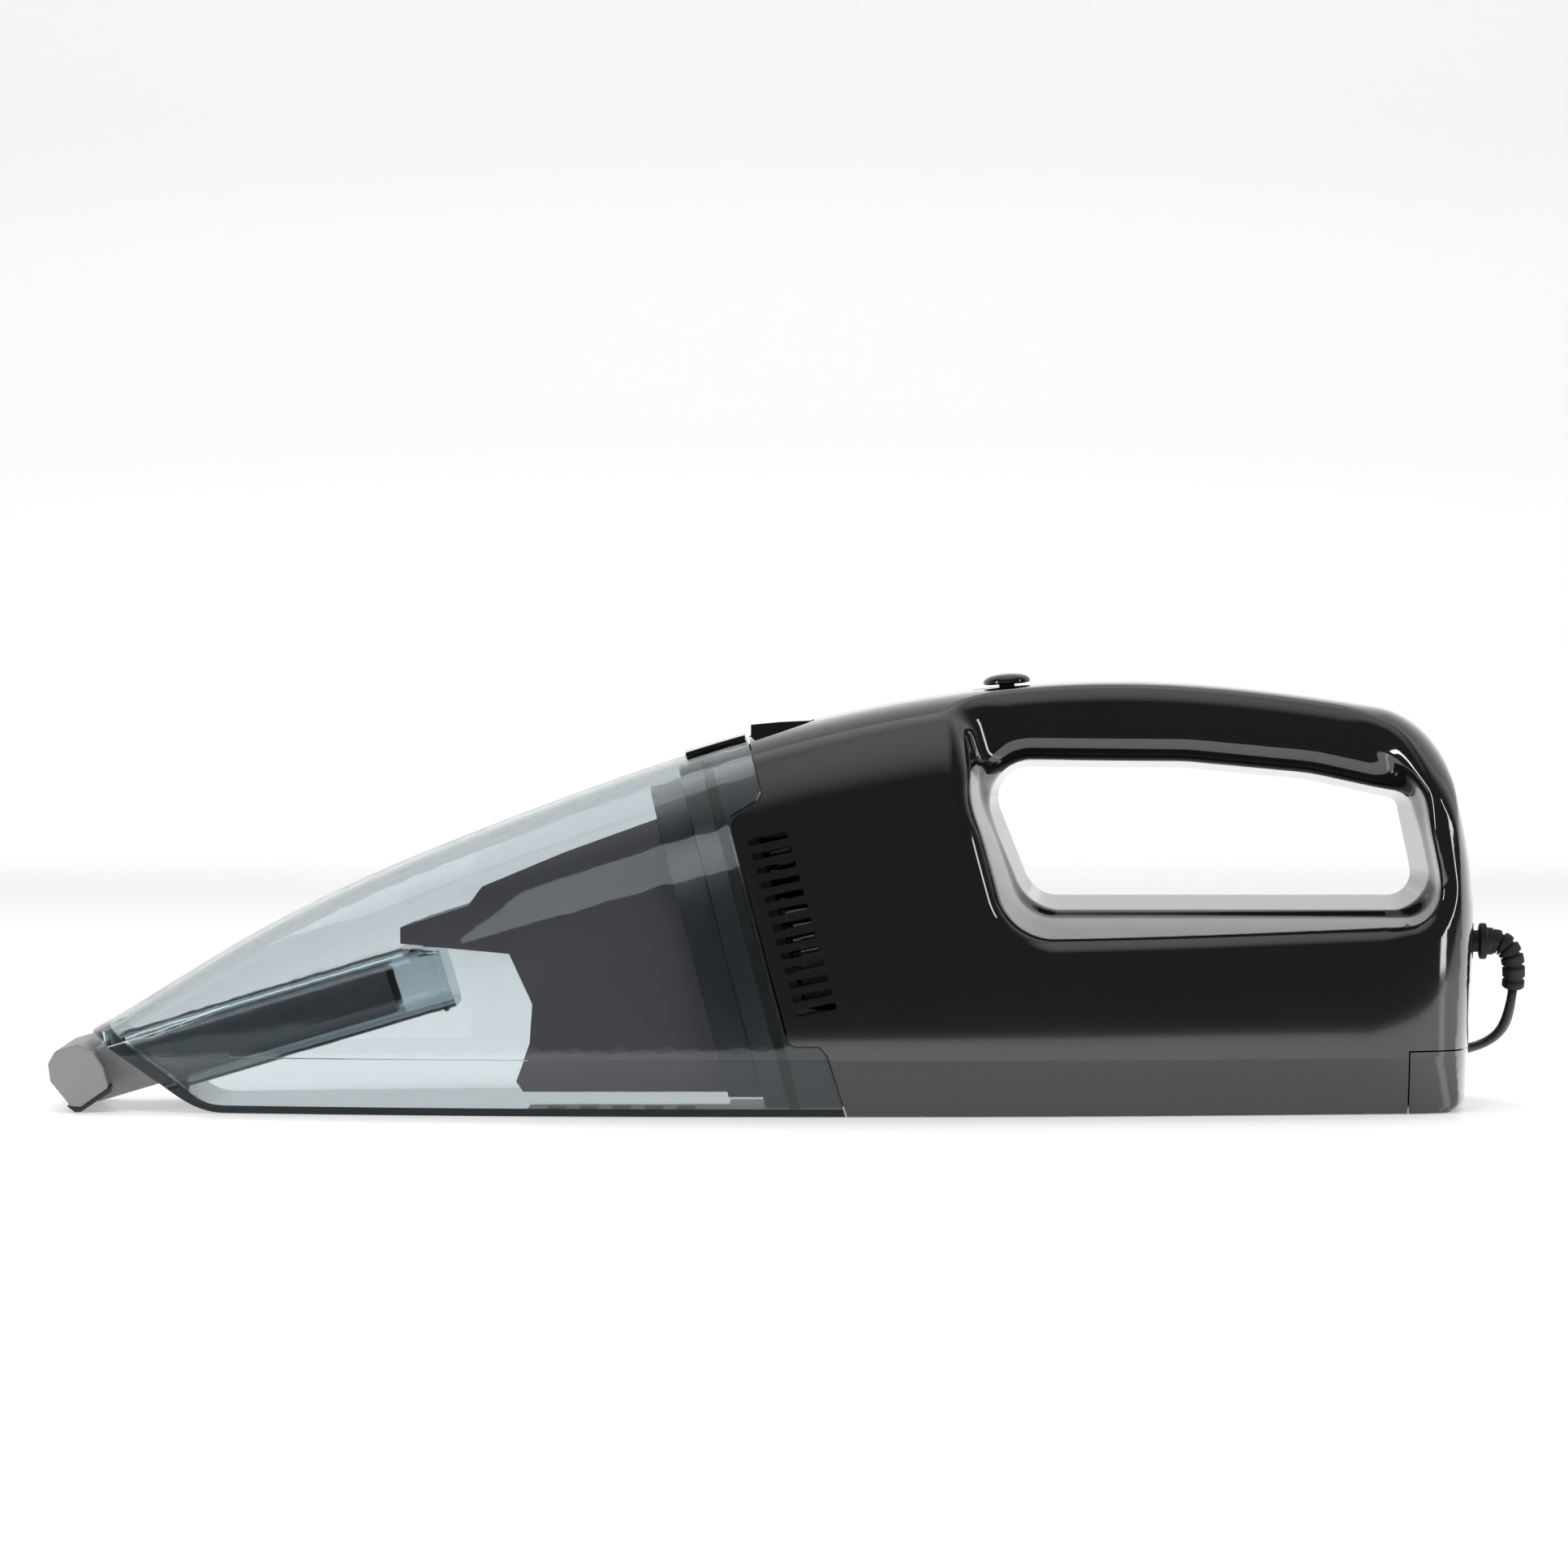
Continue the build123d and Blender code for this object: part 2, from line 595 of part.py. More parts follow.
def plug_contact(side):
    plate = block(PLUG_REAR_X - 51.6, PLUG_REAR_X - 36.4, 8.6, 11.0, -2.2, 2.2)
    return Pos(0, PLUG_Y, PLUG_BODY_R) * (plate if side > 0 else mirror(plate, Plane.XZ))


def plug_cap():
    return plug_pin(56, 62, 9.4) - plug_pin(55, 63, 3.3) + (plug_pin(50, 56, 7.35) - plug_pin(49, 57, 3.3))


def plug_tip():
    return plug_pin(47.8, 65.5, 3.0) + plug_pin(47.8, 49, 5)


def plug_fuse():
    return plug_pin(20.4, 47.8, 3.1)


def plug_spring():
    coil = Helix(pitch=1.0, height=2.0, radius=3.4)
    wire = sweep(Plane(coil @ 0, z_dir=coil % 0) * Circle(0.4), path=coil, is_frenet=True)
    return Pos(PLUG_REAR_X - 15.45, PLUG_Y, PLUG_BODY_R) * Rot(0, -90, 0) * wire


def housing_screws():
    screws = []
    for x, z in SCREW_XZ:
        shank = pin_y(x, z, SCREW_R, -HEAD_Y + 0.5, HEAD_Y)
        screws.append(shank + pin_y(x, z, HEAD_R, HEAD_Y, HEAD_Y + 2.2))
    return Compound(children=screws)


# ---- write ------------------------------------------------------------------------------------
def main():
    os.makedirs("parts", exist_ok=True)
    outer_form = envelope(0)
    left, right = split_halves(housing_shell(outer_form))
    parts = {
        "housing_left": left,
        "housing_right": right,
        "housing_screws": housing_screws(),
        "dust_bowl": dust_bowl(outer_form),
        "inlet_duct": inlet_duct(),
        "bowl_catch_plate": bowl_catch_plate(),
        "wet_nozzle": wet_nozzle(),
        "squeegee_lip": squeegee_lip(),
        "filter_shroud": filter_shroud(),
        "filter_cloth": filter_cloth(),
        "filter_frame": filter_frame(),
        "front_bulkhead": front_bulkhead(),
        "bowl_seal": bowl_seal(),
        "fan_shroud": fan_shroud(),
        "impeller": impeller(),
        "motor_can": motor_can(),
        "motor_magnets": motor_magnets(),
        "armature": armature(),
        "commutator": commutator(),
        "motor_shaft": motor_shaft(),
        "front_bearing": front_bearing(),
        "motor_end_bell": motor_end_bell(),
        "motor_terminals": motor_terminals(),
        "motor_mount_ring": motor_mount_ring(),
        "power_knob": power_knob(),
        "slide_switch": switch_body(),
        "wiring": wiring(),
        "release_button": release_button(),
        "release_spring": release_spring(),
        "button_pin": button_pin(),
        "rear_end_cap": rear_end_cap(outer_form),
        "end_cap_screw": end_cap_screw(),
        "strain_relief": strain_relief(),
        "cord": cord(),
        "cord_coil": cord_coil(),
        "plug_body": plug_body(),
        "plug_cap": plug_cap(),
        "plug_tip": plug_tip(),
        "plug_contact_left": plug_contact(-1),
        "plug_contact_right": plug_contact(1),
        "plug_fuse": plug_fuse(),
        "plug_spring": plug_spring(),
    }
    for name, shape in parts.items():
        export_step(shape, f"parts/{name}.step")
        print(name, len(shape.solids()), round(shape.volume, 1))


main()
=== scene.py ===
from math import cos, hypot, pi, radians, sin, tan

import bpy
import numpy as np
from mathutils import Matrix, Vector


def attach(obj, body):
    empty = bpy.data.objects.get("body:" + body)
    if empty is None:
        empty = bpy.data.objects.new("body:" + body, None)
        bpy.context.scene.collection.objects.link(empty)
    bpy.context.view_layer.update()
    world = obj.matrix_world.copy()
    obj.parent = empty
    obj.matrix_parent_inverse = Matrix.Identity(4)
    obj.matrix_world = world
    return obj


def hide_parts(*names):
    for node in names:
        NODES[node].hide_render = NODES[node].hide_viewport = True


MM = 0.001

# Camera: a long lens, square on to the vacuum's left side
LENS = 180
CAMERA_DISTANCE = 2.04
CAMERA_HEIGHT_ANGLE = 1.6
AIM = Vector((0.0042, 0.0, 0.0837))

# Backdrop, in metres: a short floor in front, then a long one that sweeps up into a wall
FLOOR_FRONT = -0.45
SWEEP_Y = 2.4
SWEEP_RADIUS = 0.8
WALL_TOP = 5.0
BACKDROP_HALF = 5.0
FLOOR_DROP = 0.0002       # keeps the floor just clear of the object's base

# Colour of the black mouldings
BLACK = (0.009, 0.0095, 0.0115)

# ---- dimensions in millimetres, as on the drawing ----------------------------------------------
# Outer form: stations of x, top height and half-width along the body
WALL = 2.2
CREASE_Z = 14.7           # where the skirt starts to lean in
SKIRT_IN = 6.0
SQUARENESS = 2.652        # exponent of the body's superellipse
STATIONS = np.array([(-176.5, 19.8, 26.5), (-150, 35.5, 33), (-110, 57.2, 41), (-60, 77.7, 47.5),
                     (-10, 94.8, 50), (40, 106.3, 50), (95, 110.6, 47), (140, 106.8, 41.5), (200, 96, 33)])
REAR_ROUND = (4.0, 12.0)  # edge between the roof and the rear, low down and at the top
PLAN_ROUND = 8.0          # edge between the sides and the rear corners

# Handle: outlines of x, z and corner radius
GRIP_HALF = 18.0
OPENING_DRAFT = tan(radians(9))
RECESS_DRAFT = tan(radians(14))
OPENING = [(69.4, 54.9, 9), (168.5, 54.9, 6), (163.2, 79.8, 2.5), (140, 84.9, 60), (108, 87.9, 60),
           (56.2, 88.3, 8)]
RECESS = [(67.0, 51.6, 9), (171.3, 51.6, 6), (166.2, 77, 30), (158, 106, 40), (158, 135, 1), (44, 135, 1),
          (50.5, 106, 40), (57, 84, 30)]
SHOULDER_ROUND = 5.0      # edge between the body's side and the recess
GRIP_ROUND = 7.5          # long edges of the grip
HOLLOW_ROUND = 7.0        # fillet where the grip runs into the body
RIM_ROUND = (2.0, 5.5)    # edge of the finger opening, below and above

# Seams, screws and holes of the housing
SEAM = [(-8.6, 110), (-1.3, 82.3), (-2.6, 79.8), (-8.9, 76.0), (-9.4, 74.2), (5.5, 19.3), (7.0, 18.3),
        (13.2, 18.3), (15.3, 16.0), (20.3, 0), (21.6, -5)]
SEAM_FRONT = [(-60, -6), (-60, 118)] + SEAM
REACH = 70                # half-width of every cutter that goes right across the body
CAP_X, CAP_TOP, CAP_GAP = 164.0, 16.4, 0.4
SCREWS = [(40, 96), (34, 8.5), (96, 22), (150, 24), (170.5, 84), (128, 97.3)]
BOSS_R = 4.6
SHANK_R = 1.5
HEAD_R = 3.1
HEAD_Y = 10.0
POCKET = (-9, 12, -8.5, 8.5, 90, 104)
KNOB_SLOT = (53.4, 64.8, -2.4, 2.4, 100, 120)
RELIEF_Z = 42.8
RELIEF_HOLE_R = 2.9

# Vents: leaning slots, each further back than the one above, with a baffle behind them
VENT_COUNT = 13
VENT_PITCH = 3.6
VENT_SHIFT = 1.03
VENT_START = (0.1, 70.9)
VENT_SIZE = (10.2, 1.7)
VENT_CORNER = 0.5
VENT_TILT = radians(12)
VENT_DEPTH = 5.0
BAFFLE = np.array([(-6.5, 75.5), (16, 75.5), (30, 24.5), (7.5, 24.5)])
BAFFLE_DEPTH = 7.6        # from the outer skin to the baffle's face
BAFFLE_WALL = 2.8

# Switch knob: a profile of radius and height above its underside, tilted to follow the roof
KNOB_X, KNOB_Z, KNOB_SLOPE = 62.1, 109.75, 0.07
KNOB_STEM = (KNOB_X - 2, KNOB_X + 2, -2, 2, 103.2, KNOB_Z + 0.4)
KNOB_PROFILE = [(0.5, 0.0), (5.3, 0.0), (6.05, 0.25), (6.2, 0.6), (6.15, 0.95), (5.8, 1.5), (5.1, 2.0),
                (4.1, 2.4), (2.9, 2.65), (1.5, 2.8), (0.4, 2.84)]

# Strain relief: the flange's profile of x and radius, and the boot's body and ribs
FLANGE_PROFILE = [(178.5, 0.5), (178.5, 4.2), (180, 4.2), (180.1, 2.85), (184.9, 2.85), (185.1, 4.3),
                  (185.4, 4.7), (186.7, 4.7), (187.0, 4.4), (187.1, 3.6), (188.6, 3.5), (188.9, 3.1),
                  (188.9, 0.5)]
BOOT_START = (188.2, 193.4)   # x of the boot's root, and of the point that it heads for
BOOT_R = 2.35
BOOT_RIB = 0.85
BOOT_RIBS = 5.5

# Lead: its route from the strain relief to the coil, and from the coil into the plug
ROUTE = [(194.2, 2.2, 31.2), (193.7, 6.6, 22.0), (189.8, 16.5, 15.7), (183, 34.9, 12.0), (164, 56, 7.0),
         (134, 65.0, 3.4), (116, 65.4, 2.9)]
PLUG_ENTRY = [(108, 68.5, 21.0), (97, 71.5, 17.5), (88, 76.0, 13.5), (82, 77.8, 12.1), (76.5, 78, 12.0)]

# Lead and coil, in metres
CORD_WIDTH = 0.0048
CORD_THICK = 0.0024
COIL_CENTRE = (0.118, 0.103)
COIL_MEAN_R = 0.029
COIL_LAYER = 4            # turns beside each other in a layer
COIL_STEPS = 14
COIL_START = radians(-92)
COILED_LENGTH = 2.71
TIE_HALF = (0.0106, 0.0119)
TIE_HEIGHT = 0.0124

# Meshing of the housing's skin
CREASE_ROWS = 15          # rows of cells below the crease, so that the crease lies on a grid plane
VOXEL = CREASE_Z / CREASE_ROWS
GRID_START = np.array((-16.0, -52.5, CREASE_Z - (CREASE_ROWS + 2.5) * VOXEL))
GRID_SIZE = (206, 57, 117)
TABLE_PITCH = 0.5
TABLE_X = np.arange(-30, 215, TABLE_PITCH)
TABLE_Z = np.arange(-12, 145, TABLE_PITCH)

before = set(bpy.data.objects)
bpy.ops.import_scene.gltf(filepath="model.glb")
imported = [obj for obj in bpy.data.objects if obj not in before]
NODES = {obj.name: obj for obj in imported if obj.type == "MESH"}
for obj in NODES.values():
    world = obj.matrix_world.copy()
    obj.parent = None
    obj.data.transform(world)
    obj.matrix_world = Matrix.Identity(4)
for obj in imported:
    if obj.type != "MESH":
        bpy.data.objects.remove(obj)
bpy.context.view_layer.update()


# ---- small helpers ----------------------------------------------------------------------------
def link(obj):
    bpy.context.scene.collection.objects.link(obj)
    return obj


def mesh_object(name, verts, faces):
    """A smooth-shaded mesh in the scene."""
    mesh = bpy.data.meshes.new(name)
    mesh.from_pydata([tuple(v) for v in verts], [], faces)
    mesh.validate()
    mesh.polygons.foreach_set("use_smooth", [True] * len(mesh.polygons))
    return link(bpy.data.objects.new(name, mesh))


def metres(points):
    return [tuple(c * MM for c in point) for point in points]


def tube_faces(rows, ring, closed=False):
    """Quads round rows of ring points each, with flat ends unless the tube closes on itself."""
    faces = []
    for i in range(rows if closed else rows - 1):
        for k in range(ring):
            a, b = i * ring + k, i * ring + (k + 1) % ring
            faces.append((a, b, (b + ring) % (rows * ring), (a + ring) % (rows * ring)))
    if not closed:
        faces += [tuple(range(ring))[::-1], tuple(range((rows - 1) * ring, rows * ring))]
    return faces


def hand_over(piece, material, body, slot, *nodes):
    """Give a piece its material and the body that it rides, and hide the CAD nodes it stands for; slot is not
    used.
    """
    piece.data.materials.clear()
    piece.data.materials.append(MATERIALS[material])
    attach(piece, body)
    if nodes:
        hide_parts(*nodes)


# ---- stage ------------------------------------------------------------------------------------
def camera():
    data = bpy.data.cameras.new("camera")
    data.lens = LENS
    data.sensor_width = 36
    data.clip_end = 20
    cam = link(bpy.data.objects.new("camera", data))
    tilt = radians(CAMERA_HEIGHT_ANGLE)
    back = Vector((0, -cos(tilt), sin(tilt)))
    cam.location = AIM + back * CAMERA_DISTANCE
    cam.rotation_mode = "QUATERNION"
    cam.rotation_quaternion = (-back).to_track_quat("-Z", "Y")
    bpy.context.scene.camera = cam


def area_light(name, place, aim, size, power, colour=(1, 1, 1)):
    data = bpy.data.lights.new(name, "AREA")
    data.shape = "RECTANGLE"
    data.size, data.size_y = size
    data.energy = power
    data.color = colour
    light = link(bpy.data.objects.new(name, data))
    light.location = place
    light.rotation_mode = "QUATERNION"
    light.rotation_quaternion = (Vector(aim) - Vector(place)).to_track_quat("-Z", "Y")
    return light


def node_tree(material):
    material.use_nodes = True
    tree = material.node_tree
    tree.nodes.clear()
    return tree


def backdrop():
    """A pale floor that sweeps up behind the object, with a faint sheen."""
    rows = [(FLOOR_FRONT, 0.0), (SWEEP_Y, 0.0)]
    rows += [(SWEEP_Y + SWEEP_RADIUS * sin(radians(a)), SWEEP_RADIUS * (1 - cos(radians(a))))
             for a in range(10, 91, 10)]
    rows += [(SWEEP_Y + SWEEP_RADIUS, WALL_TOP)]
    verts = [(x, y, z - FLOOR_DROP) for y, z in rows for x in (-BACKDROP_HALF, BACKDROP_HALF)]
    faces = [(2 * i, 2 * i + 1, 2 * i + 3, 2 * i + 2) for i in range(len(rows) - 1)]
    sweep = mesh_object("backdrop", verts, faces)
    material = bpy.data.materials.new("backdrop")
    tree = node_tree(material)
    out = tree.nodes.new("ShaderNodeOutputMaterial")
    paper = tree.nodes.new("ShaderNodeBsdfDiffuse")
    paper.inputs["Color"].default_value = (0.88, 0.88, 0.88, 1)
    glow = tree.nodes.new("ShaderNodeEmission")
    glow.inputs["Strength"].default_value = 0.42
    lit = tree.nodes.new("ShaderNodeAddShader")
    tree.links.new(paper.outputs[0], lit.inputs[0])
    tree.links.new(glow.outputs[0], lit.inputs[1])
    gloss = tree.nodes.new("ShaderNodeBsdfGlossy")
    gloss.inputs["Roughness"].default_value = 0.10
    mixed = tree.nodes.new("ShaderNodeMixShader")
    mixed.inputs[0].default_value = 0.14
    tree.links.new(lit.outputs[0], mixed.inputs[1])
    tree.links.new(gloss.outputs[0], mixed.inputs[2])
    tree.links.new(mixed.outputs[0], out.inputs[0])
    sweep.data.materials.append(material)


def studio_world():
    """A studio that is white behind the object, pale straight above and dark on the camera's side."""
    world = bpy.data.worlds.new("world")
    world.use_nodes = True
    nodes, links = world.node_tree.nodes, world.node_tree.links
    place = nodes.new("ShaderNodeTexCoord")
    split = nodes.new("ShaderNodeSeparateXYZ")
    links.new(place.outputs["Generated"], split.inputs[0])
    levels = []
    for axis, low, high, dark, light in (("Y", -0.1, 0.7, 0.05, 0.9), ("Z", 0.82, 1.0, 0.0, 0.62)):
        level = nodes.new("ShaderNodeMapRange")
        level.interpolation_type = "SMOOTHSTEP"
        for socket, value in zip(("From Min", "From Max", "To Min", "To Max"), (low, high, dark, light)):
            level.inputs[socket].default_value = value
        links.new(split.outputs[axis], level.inputs["Value"])
        levels.append(level)
    both = nodes.new("ShaderNodeMath")
    both.operation = "MAXIMUM"
    links.new(levels[0].outputs["Result"], both.inputs[0])
    links.new(levels[1].outputs["Result"], both.inputs[1])
    seen = nodes.new("ShaderNodeLightPath")
    white = nodes.new("ShaderNodeMix")
    links.new(seen.outputs["Is Camera Ray"], white.inputs["Factor"])
    links.new(both.outputs[0], white.inputs["A"])
    white.inputs["B"].default_value = 1.05
    background = nodes["Background"]
    background.inputs[0].default_value = (1.0, 0.985, 0.96, 1)
    links.new(white.outputs["Result"], background.inputs[1])
    bpy.context.scene.world = world


bpy.context.scene.view_settings.view_transform = "Standard"
camera()
backdrop()
studio_world()
soft = [area_light("top_softbox", (0.0, 0.55, 1.2), (0, 0.05, 0), (1.6, 0.7), 7),
        area_light("front_fill", (0.0, -1.3, 1.4), (0, 0, 0.05), (1.6, 0.8), 15)]
for light in soft:
    light.visible_glossy = False
area_light("back_wash", (0.0, 1.7, 1.1), (0, 3.0, 0.7), (2.8, 0.8), 13)
area_light("left_strip", (-1.0, -0.8, 0.45), (0, 0, 0.06), (0.16, 0.7), 3.5)
area_light("right_strip", (1.1, -0.45, 0.35), (0.15, 0, 0.06), (0.12, 0.7), 1.6)


# ---- materials --------------------------------------------------------------------------------
def plastic(name, colour, rough, grain_mm, bump, coat=0.0, fleck=0.12, edge_mm=0.0):
    """Moulded plastic: cloudy colour, uneven gloss, a fine skin and, if asked, softened edges."""
    material = bpy.data.materials.new(name)
    tree = node_tree(material)
    nodes, links = tree.nodes, tree.links
    out = nodes.new("ShaderNodeOutputMaterial")
    shader = nodes.new("ShaderNodeBsdfPrincipled")
    shader.inputs["IOR"].default_value = 1.5 + 0.15 * coat
    shader.inputs["Coat Weight"].default_value = coat
    shader.inputs["Coat Roughness"].default_value = 0.04
    links.new(shader.outputs[0], out.inputs[0])
    place = nodes.new("ShaderNodeTexCoord")
    cloud = nodes.new("ShaderNodeTexNoise")
    cloud.inputs["Scale"].default_value = 18
    cloud.inputs["Detail"].default_value = 4
    links.new(place.outputs["Object"], cloud.inputs["Vector"])
    tint = nodes.new("ShaderNodeMix")
    tint.data_type = "RGBA"
    low = tuple(c * (1 - fleck) for c in colour)
    high = tuple(min(1, c * (1 + fleck)) for c in colour)
    tint.inputs["A"].default_value = (*low, 1)
    tint.inputs["B"].default_value = (*high, 1)
    links.new(cloud.outputs["Fac"], tint.inputs["Factor"])
    links.new(tint.outputs["Result"], shader.inputs["Base Color"])
    gloss = nodes.new("ShaderNodeMapRange")
    gloss.inputs["To Min"].default_value = rough * 0.8
    gloss.inputs["To Max"].default_value = rough * 1.25
    links.new(cloud.outputs["Fac"], gloss.inputs["Value"])
    links.new(gloss.outputs["Result"], shader.inputs["Roughness"])
    grain = nodes.new("ShaderNodeTexNoise")
    grain.inputs["Scale"].default_value = 1 / (grain_mm * MM)
    grain.inputs["Detail"].default_value = 2
    links.new(place.outputs["Object"], grain.inputs["Vector"])
    skin = nodes.new("ShaderNodeBump")
    skin.inputs["Strength"].default_value = bump
    skin.inputs["Distance"].default_value = 0.0001
    links.new(grain.outputs["Fac"], skin.inputs["Height"])
    links.new(skin.outputs["Normal"], shader.inputs["Normal"])
    if edge_mm:
        soft = nodes.new("ShaderNodeBevel")
        soft.samples = 6
        soft.inputs["Radius"].default_value = edge_mm * MM
        links.new(soft.outputs["Normal"], skin.inputs["Normal"])
    return material


def metal(name, colour, rough, grain_mm):
    """Metal with a fine grain and uneven gloss."""
    material = plastic(name, colour, rough, grain_mm, 0.15)
    nodes = material.node_tree.nodes
    shader = next(node for node in nodes if node.type == "BSDF_PRINCIPLED")
    shader.inputs["Metallic"].default_value = 1.0
    return material


def clear_plastic(name, colour, rough, absorb):
    """Clear moulded plastic, faintly tinted; absorb holds the colour and density of its body."""
    material = bpy.data.materials.new(name)
    tree = node_tree(material)
    nodes, links = tree.nodes, tree.links
    out = nodes.new("ShaderNodeOutputMaterial")
    shader = nodes.new("ShaderNodeBsdfPrincipled")
    shader.inputs["Base Color"].default_value = (*colour, 1)
    shader.inputs["IOR"].default_value = 1.49
    shader.inputs["Transmission Weight"].default_value = 1.0
    place = nodes.new("ShaderNodeTexCoord")
    haze = nodes.new("ShaderNodeTexNoise")
    haze.inputs["Scale"].default_value = 25
    haze.inputs["Detail"].default_value = 5
    links.new(place.outputs["Object"], haze.inputs["Vector"])
    gloss = nodes.new("ShaderNodeMapRange")
    gloss.inputs["To Min"].default_value = rough * 0.6
    gloss.inputs["To Max"].default_value = rough * 1.5
    links.new(haze.outputs["Fac"], gloss.inputs["Value"])
    links.new(gloss.outputs["Result"], shader.inputs["Roughness"])
    flow = nodes.new("ShaderNodeBump")
    flow.inputs["Strength"].default_value = 0.08
    flow.inputs["Distance"].default_value = 0.0004
    links.new(haze.outputs["Fac"], flow.inputs["Height"])
    links.new(flow.outputs["Normal"], shader.inputs["Normal"])
    links.new(shader.outputs[0], out.inputs["Surface"])
    if absorb:
        volume = nodes.new("ShaderNodeVolumeAbsorption")
        volume.inputs["Color"].default_value = (*absorb[0], 1)
        volume.inputs["Density"].default_value = absorb[1]
        links.new(volume.outputs[0], out.inputs["Volume"])
    return material


MATERIALS = {
    "body_black": plastic("body_black", BLACK, 0.07, 0.25, 0.015, coat=1.0),
    "bowl_clear": clear_plastic("bowl_clear", (0.94, 0.96, 0.97), 0.02, ((0.30, 0.42, 0.455), 125)),
    "duct_clear": clear_plastic("duct_clear", (0.90, 0.94, 0.96), 0.04, ((0.40, 0.50, 0.54), 230)),
    "fuse_glass": clear_plastic("fuse_glass", (0.97, 0.98, 0.98), 0.02, None),
    "nozzle_grey": plastic("nozzle_grey", (0.30, 0.295, 0.30), 0.42, 0.3, 0.25, edge_mm=0.6),
    "trim_black": plastic("trim_black", (0.010, 0.0105, 0.011), 0.12, 0.35, 0.04, 1.0, edge_mm=0.5),
    "lip_rubber": plastic("lip_rubber", (0.035, 0.034, 0.034), 0.6, 0.3, 0.4),
    "shroud_grey": plastic("shroud_grey", (0.17, 0.15, 0.17), 0.40, 0.35, 0.25),
    "filter_fabric": plastic("filter_fabric", (0.62, 0.61, 0.57), 0.9, 0.5, 0.9),
    "satin_black": plastic("satin_black", (0.022, 0.023, 0.025), 0.35, 0.3, 0.2),
    "slate": plastic("slate", (0.055, 0.062, 0.070), 0.30, 0.3, 0.2),
    "dark_grey": plastic("dark_grey", (0.06, 0.06, 0.065), 0.45, 0.3, 0.25),
    "rubber": plastic("rubber", (0.015, 0.015, 0.015), 0.55, 0.25, 0.35),
    "lead_black": plastic("lead_black", (0.014, 0.014, 0.015), 0.38, 0.4, 0.12),
    "steel": metal("steel", (0.62, 0.62, 0.63), 0.28, 0.2),
    "dull_steel": metal("dull_steel", (0.40, 0.40, 0.41), 0.45, 0.3),
    "nickel": metal("nickel", (0.80, 0.79, 0.77), 0.16, 0.3),
    "brass": metal("brass", (0.72, 0.52, 0.26), 0.32, 0.3),
    "wire_red": plastic("wire_red", (0.40, 0.02, 0.02), 0.4, 0.3, 0.1),
}
USES = {
    "trim_black": ["bowl_catch_plate", "release_button"],
    "bowl_clear": ["dust_bowl"],
    "duct_clear": ["inlet_duct"],
    "fuse_glass": ["plug_fuse"],
    "nozzle_grey": ["wet_nozzle"],
    "lip_rubber": ["squeegee_lip"],
    "shroud_grey": ["filter_shroud"],
    "filter_fabric": ["filter_cloth"],
    "slate": ["filter_frame", "front_bulkhead"],
    "satin_black": ["motor_end_bell", "slide_switch", "plug_body", "plug_cap"],
    "dark_grey": ["fan_shroud", "impeller", "motor_magnets"],
    "rubber": ["bowl_seal", "motor_mount_ring"],
    "steel": ["housing_screws", "end_cap_screw", "release_spring", "plug_spring", "button_pin",
              "motor_shaft"],
    "dull_steel": ["motor_can", "armature"],
    "nickel": ["plug_tip", "plug_contact_left", "plug_contact_right"],
    "brass": ["commutator", "front_bearing", "motor_terminals"],
    "wire_red": ["wiring"],
}
for material_name, node_names in USES.items():
    for node_name in node_names:
        data = NODES[node_name].data
        data.materials.clear()
        data.materials.append(MATERIALS[material_name])


# ---- housing skin -----------------------------------------------------------------------------
def natural_spline(xs, ys):
    """Second derivatives of the natural cubic spline through the points."""
    count = len(xs)
    matrix, right = np.eye(count), np.zeros(count)
    for i in range(1, count - 1):
        before, after = xs[i] - xs[i - 1], xs[i + 1] - xs[i]
        matrix[i, i - 1:i + 2] = before, 2 * (before + after), after
        right[i] = 6 * ((ys[i + 1] - ys[i]) / after - (ys[i] - ys[i - 1]) / before)
    return np.linalg.solve(matrix, right)


def spline_at(xs, ys, bend, x):
    """The spline's value at x."""
    i = np.clip(np.searchsorted(xs, x) - 1, 0, len(xs) - 2)
    span = xs[i + 1] - xs[i]
    a, b = (xs[i + 1] - x) / span, (x - xs[i]) / span
    return a * ys[i] + b * ys[i + 1] + ((a**3 - a) * bend[i] + (b**3 - b) * bend[i + 1]) * span**2 / 6


TOP_BEND = natural_spline(STATIONS[:, 0], STATIONS[:, 1])
HALF_BEND = natural_spline(STATIONS[:, 0], STATIONS[:, 2])


def round_max(a, b, r):
    """The common part of two forms, its edge rounded to r."""
    return np.minimum(-r, np.maximum(a, b)) + np.hypot(np.maximum(r + a, 0), np.maximum(r + b, 0))


def round_min(a, b, r):
    """Two forms joined, with a fillet of r between them."""
    return -round_max(-a, -b, r)


def rounded_outline(corners, steps=24):
    """A closed outline whose corners (x, z, radius) are rounded."""
    points = []
    for before, (x, z, r), after in zip(corners[-1:] + corners[:-1], corners, corners[1:] + corners[:1]):
        corner = np.array((x, z))
        back, ahead = np.array(before[:2]) - corner, np.array(after[:2]) - corner
        back, ahead = back / np.linalg.norm(back), ahead / np.linalg.norm(ahead)
        half = np.arccos(back @ ahead) / 2
        middle = (back + ahead) / np.linalg.norm(back + ahead)
        centre = corner + middle * r / np.sin(half)
        start, end = [np.arctan2(*(corner + way * r / np.tan(half) - centre)[::-1]) for way in (back, ahead)]
        turn = (end - start + pi) % (2 * pi) - pi
        points += [centre + r * np.array((cos(start + turn * k / steps), sin(start + turn * k / steps)))
                   for k in range(steps + 1)]
    return np.array(points)


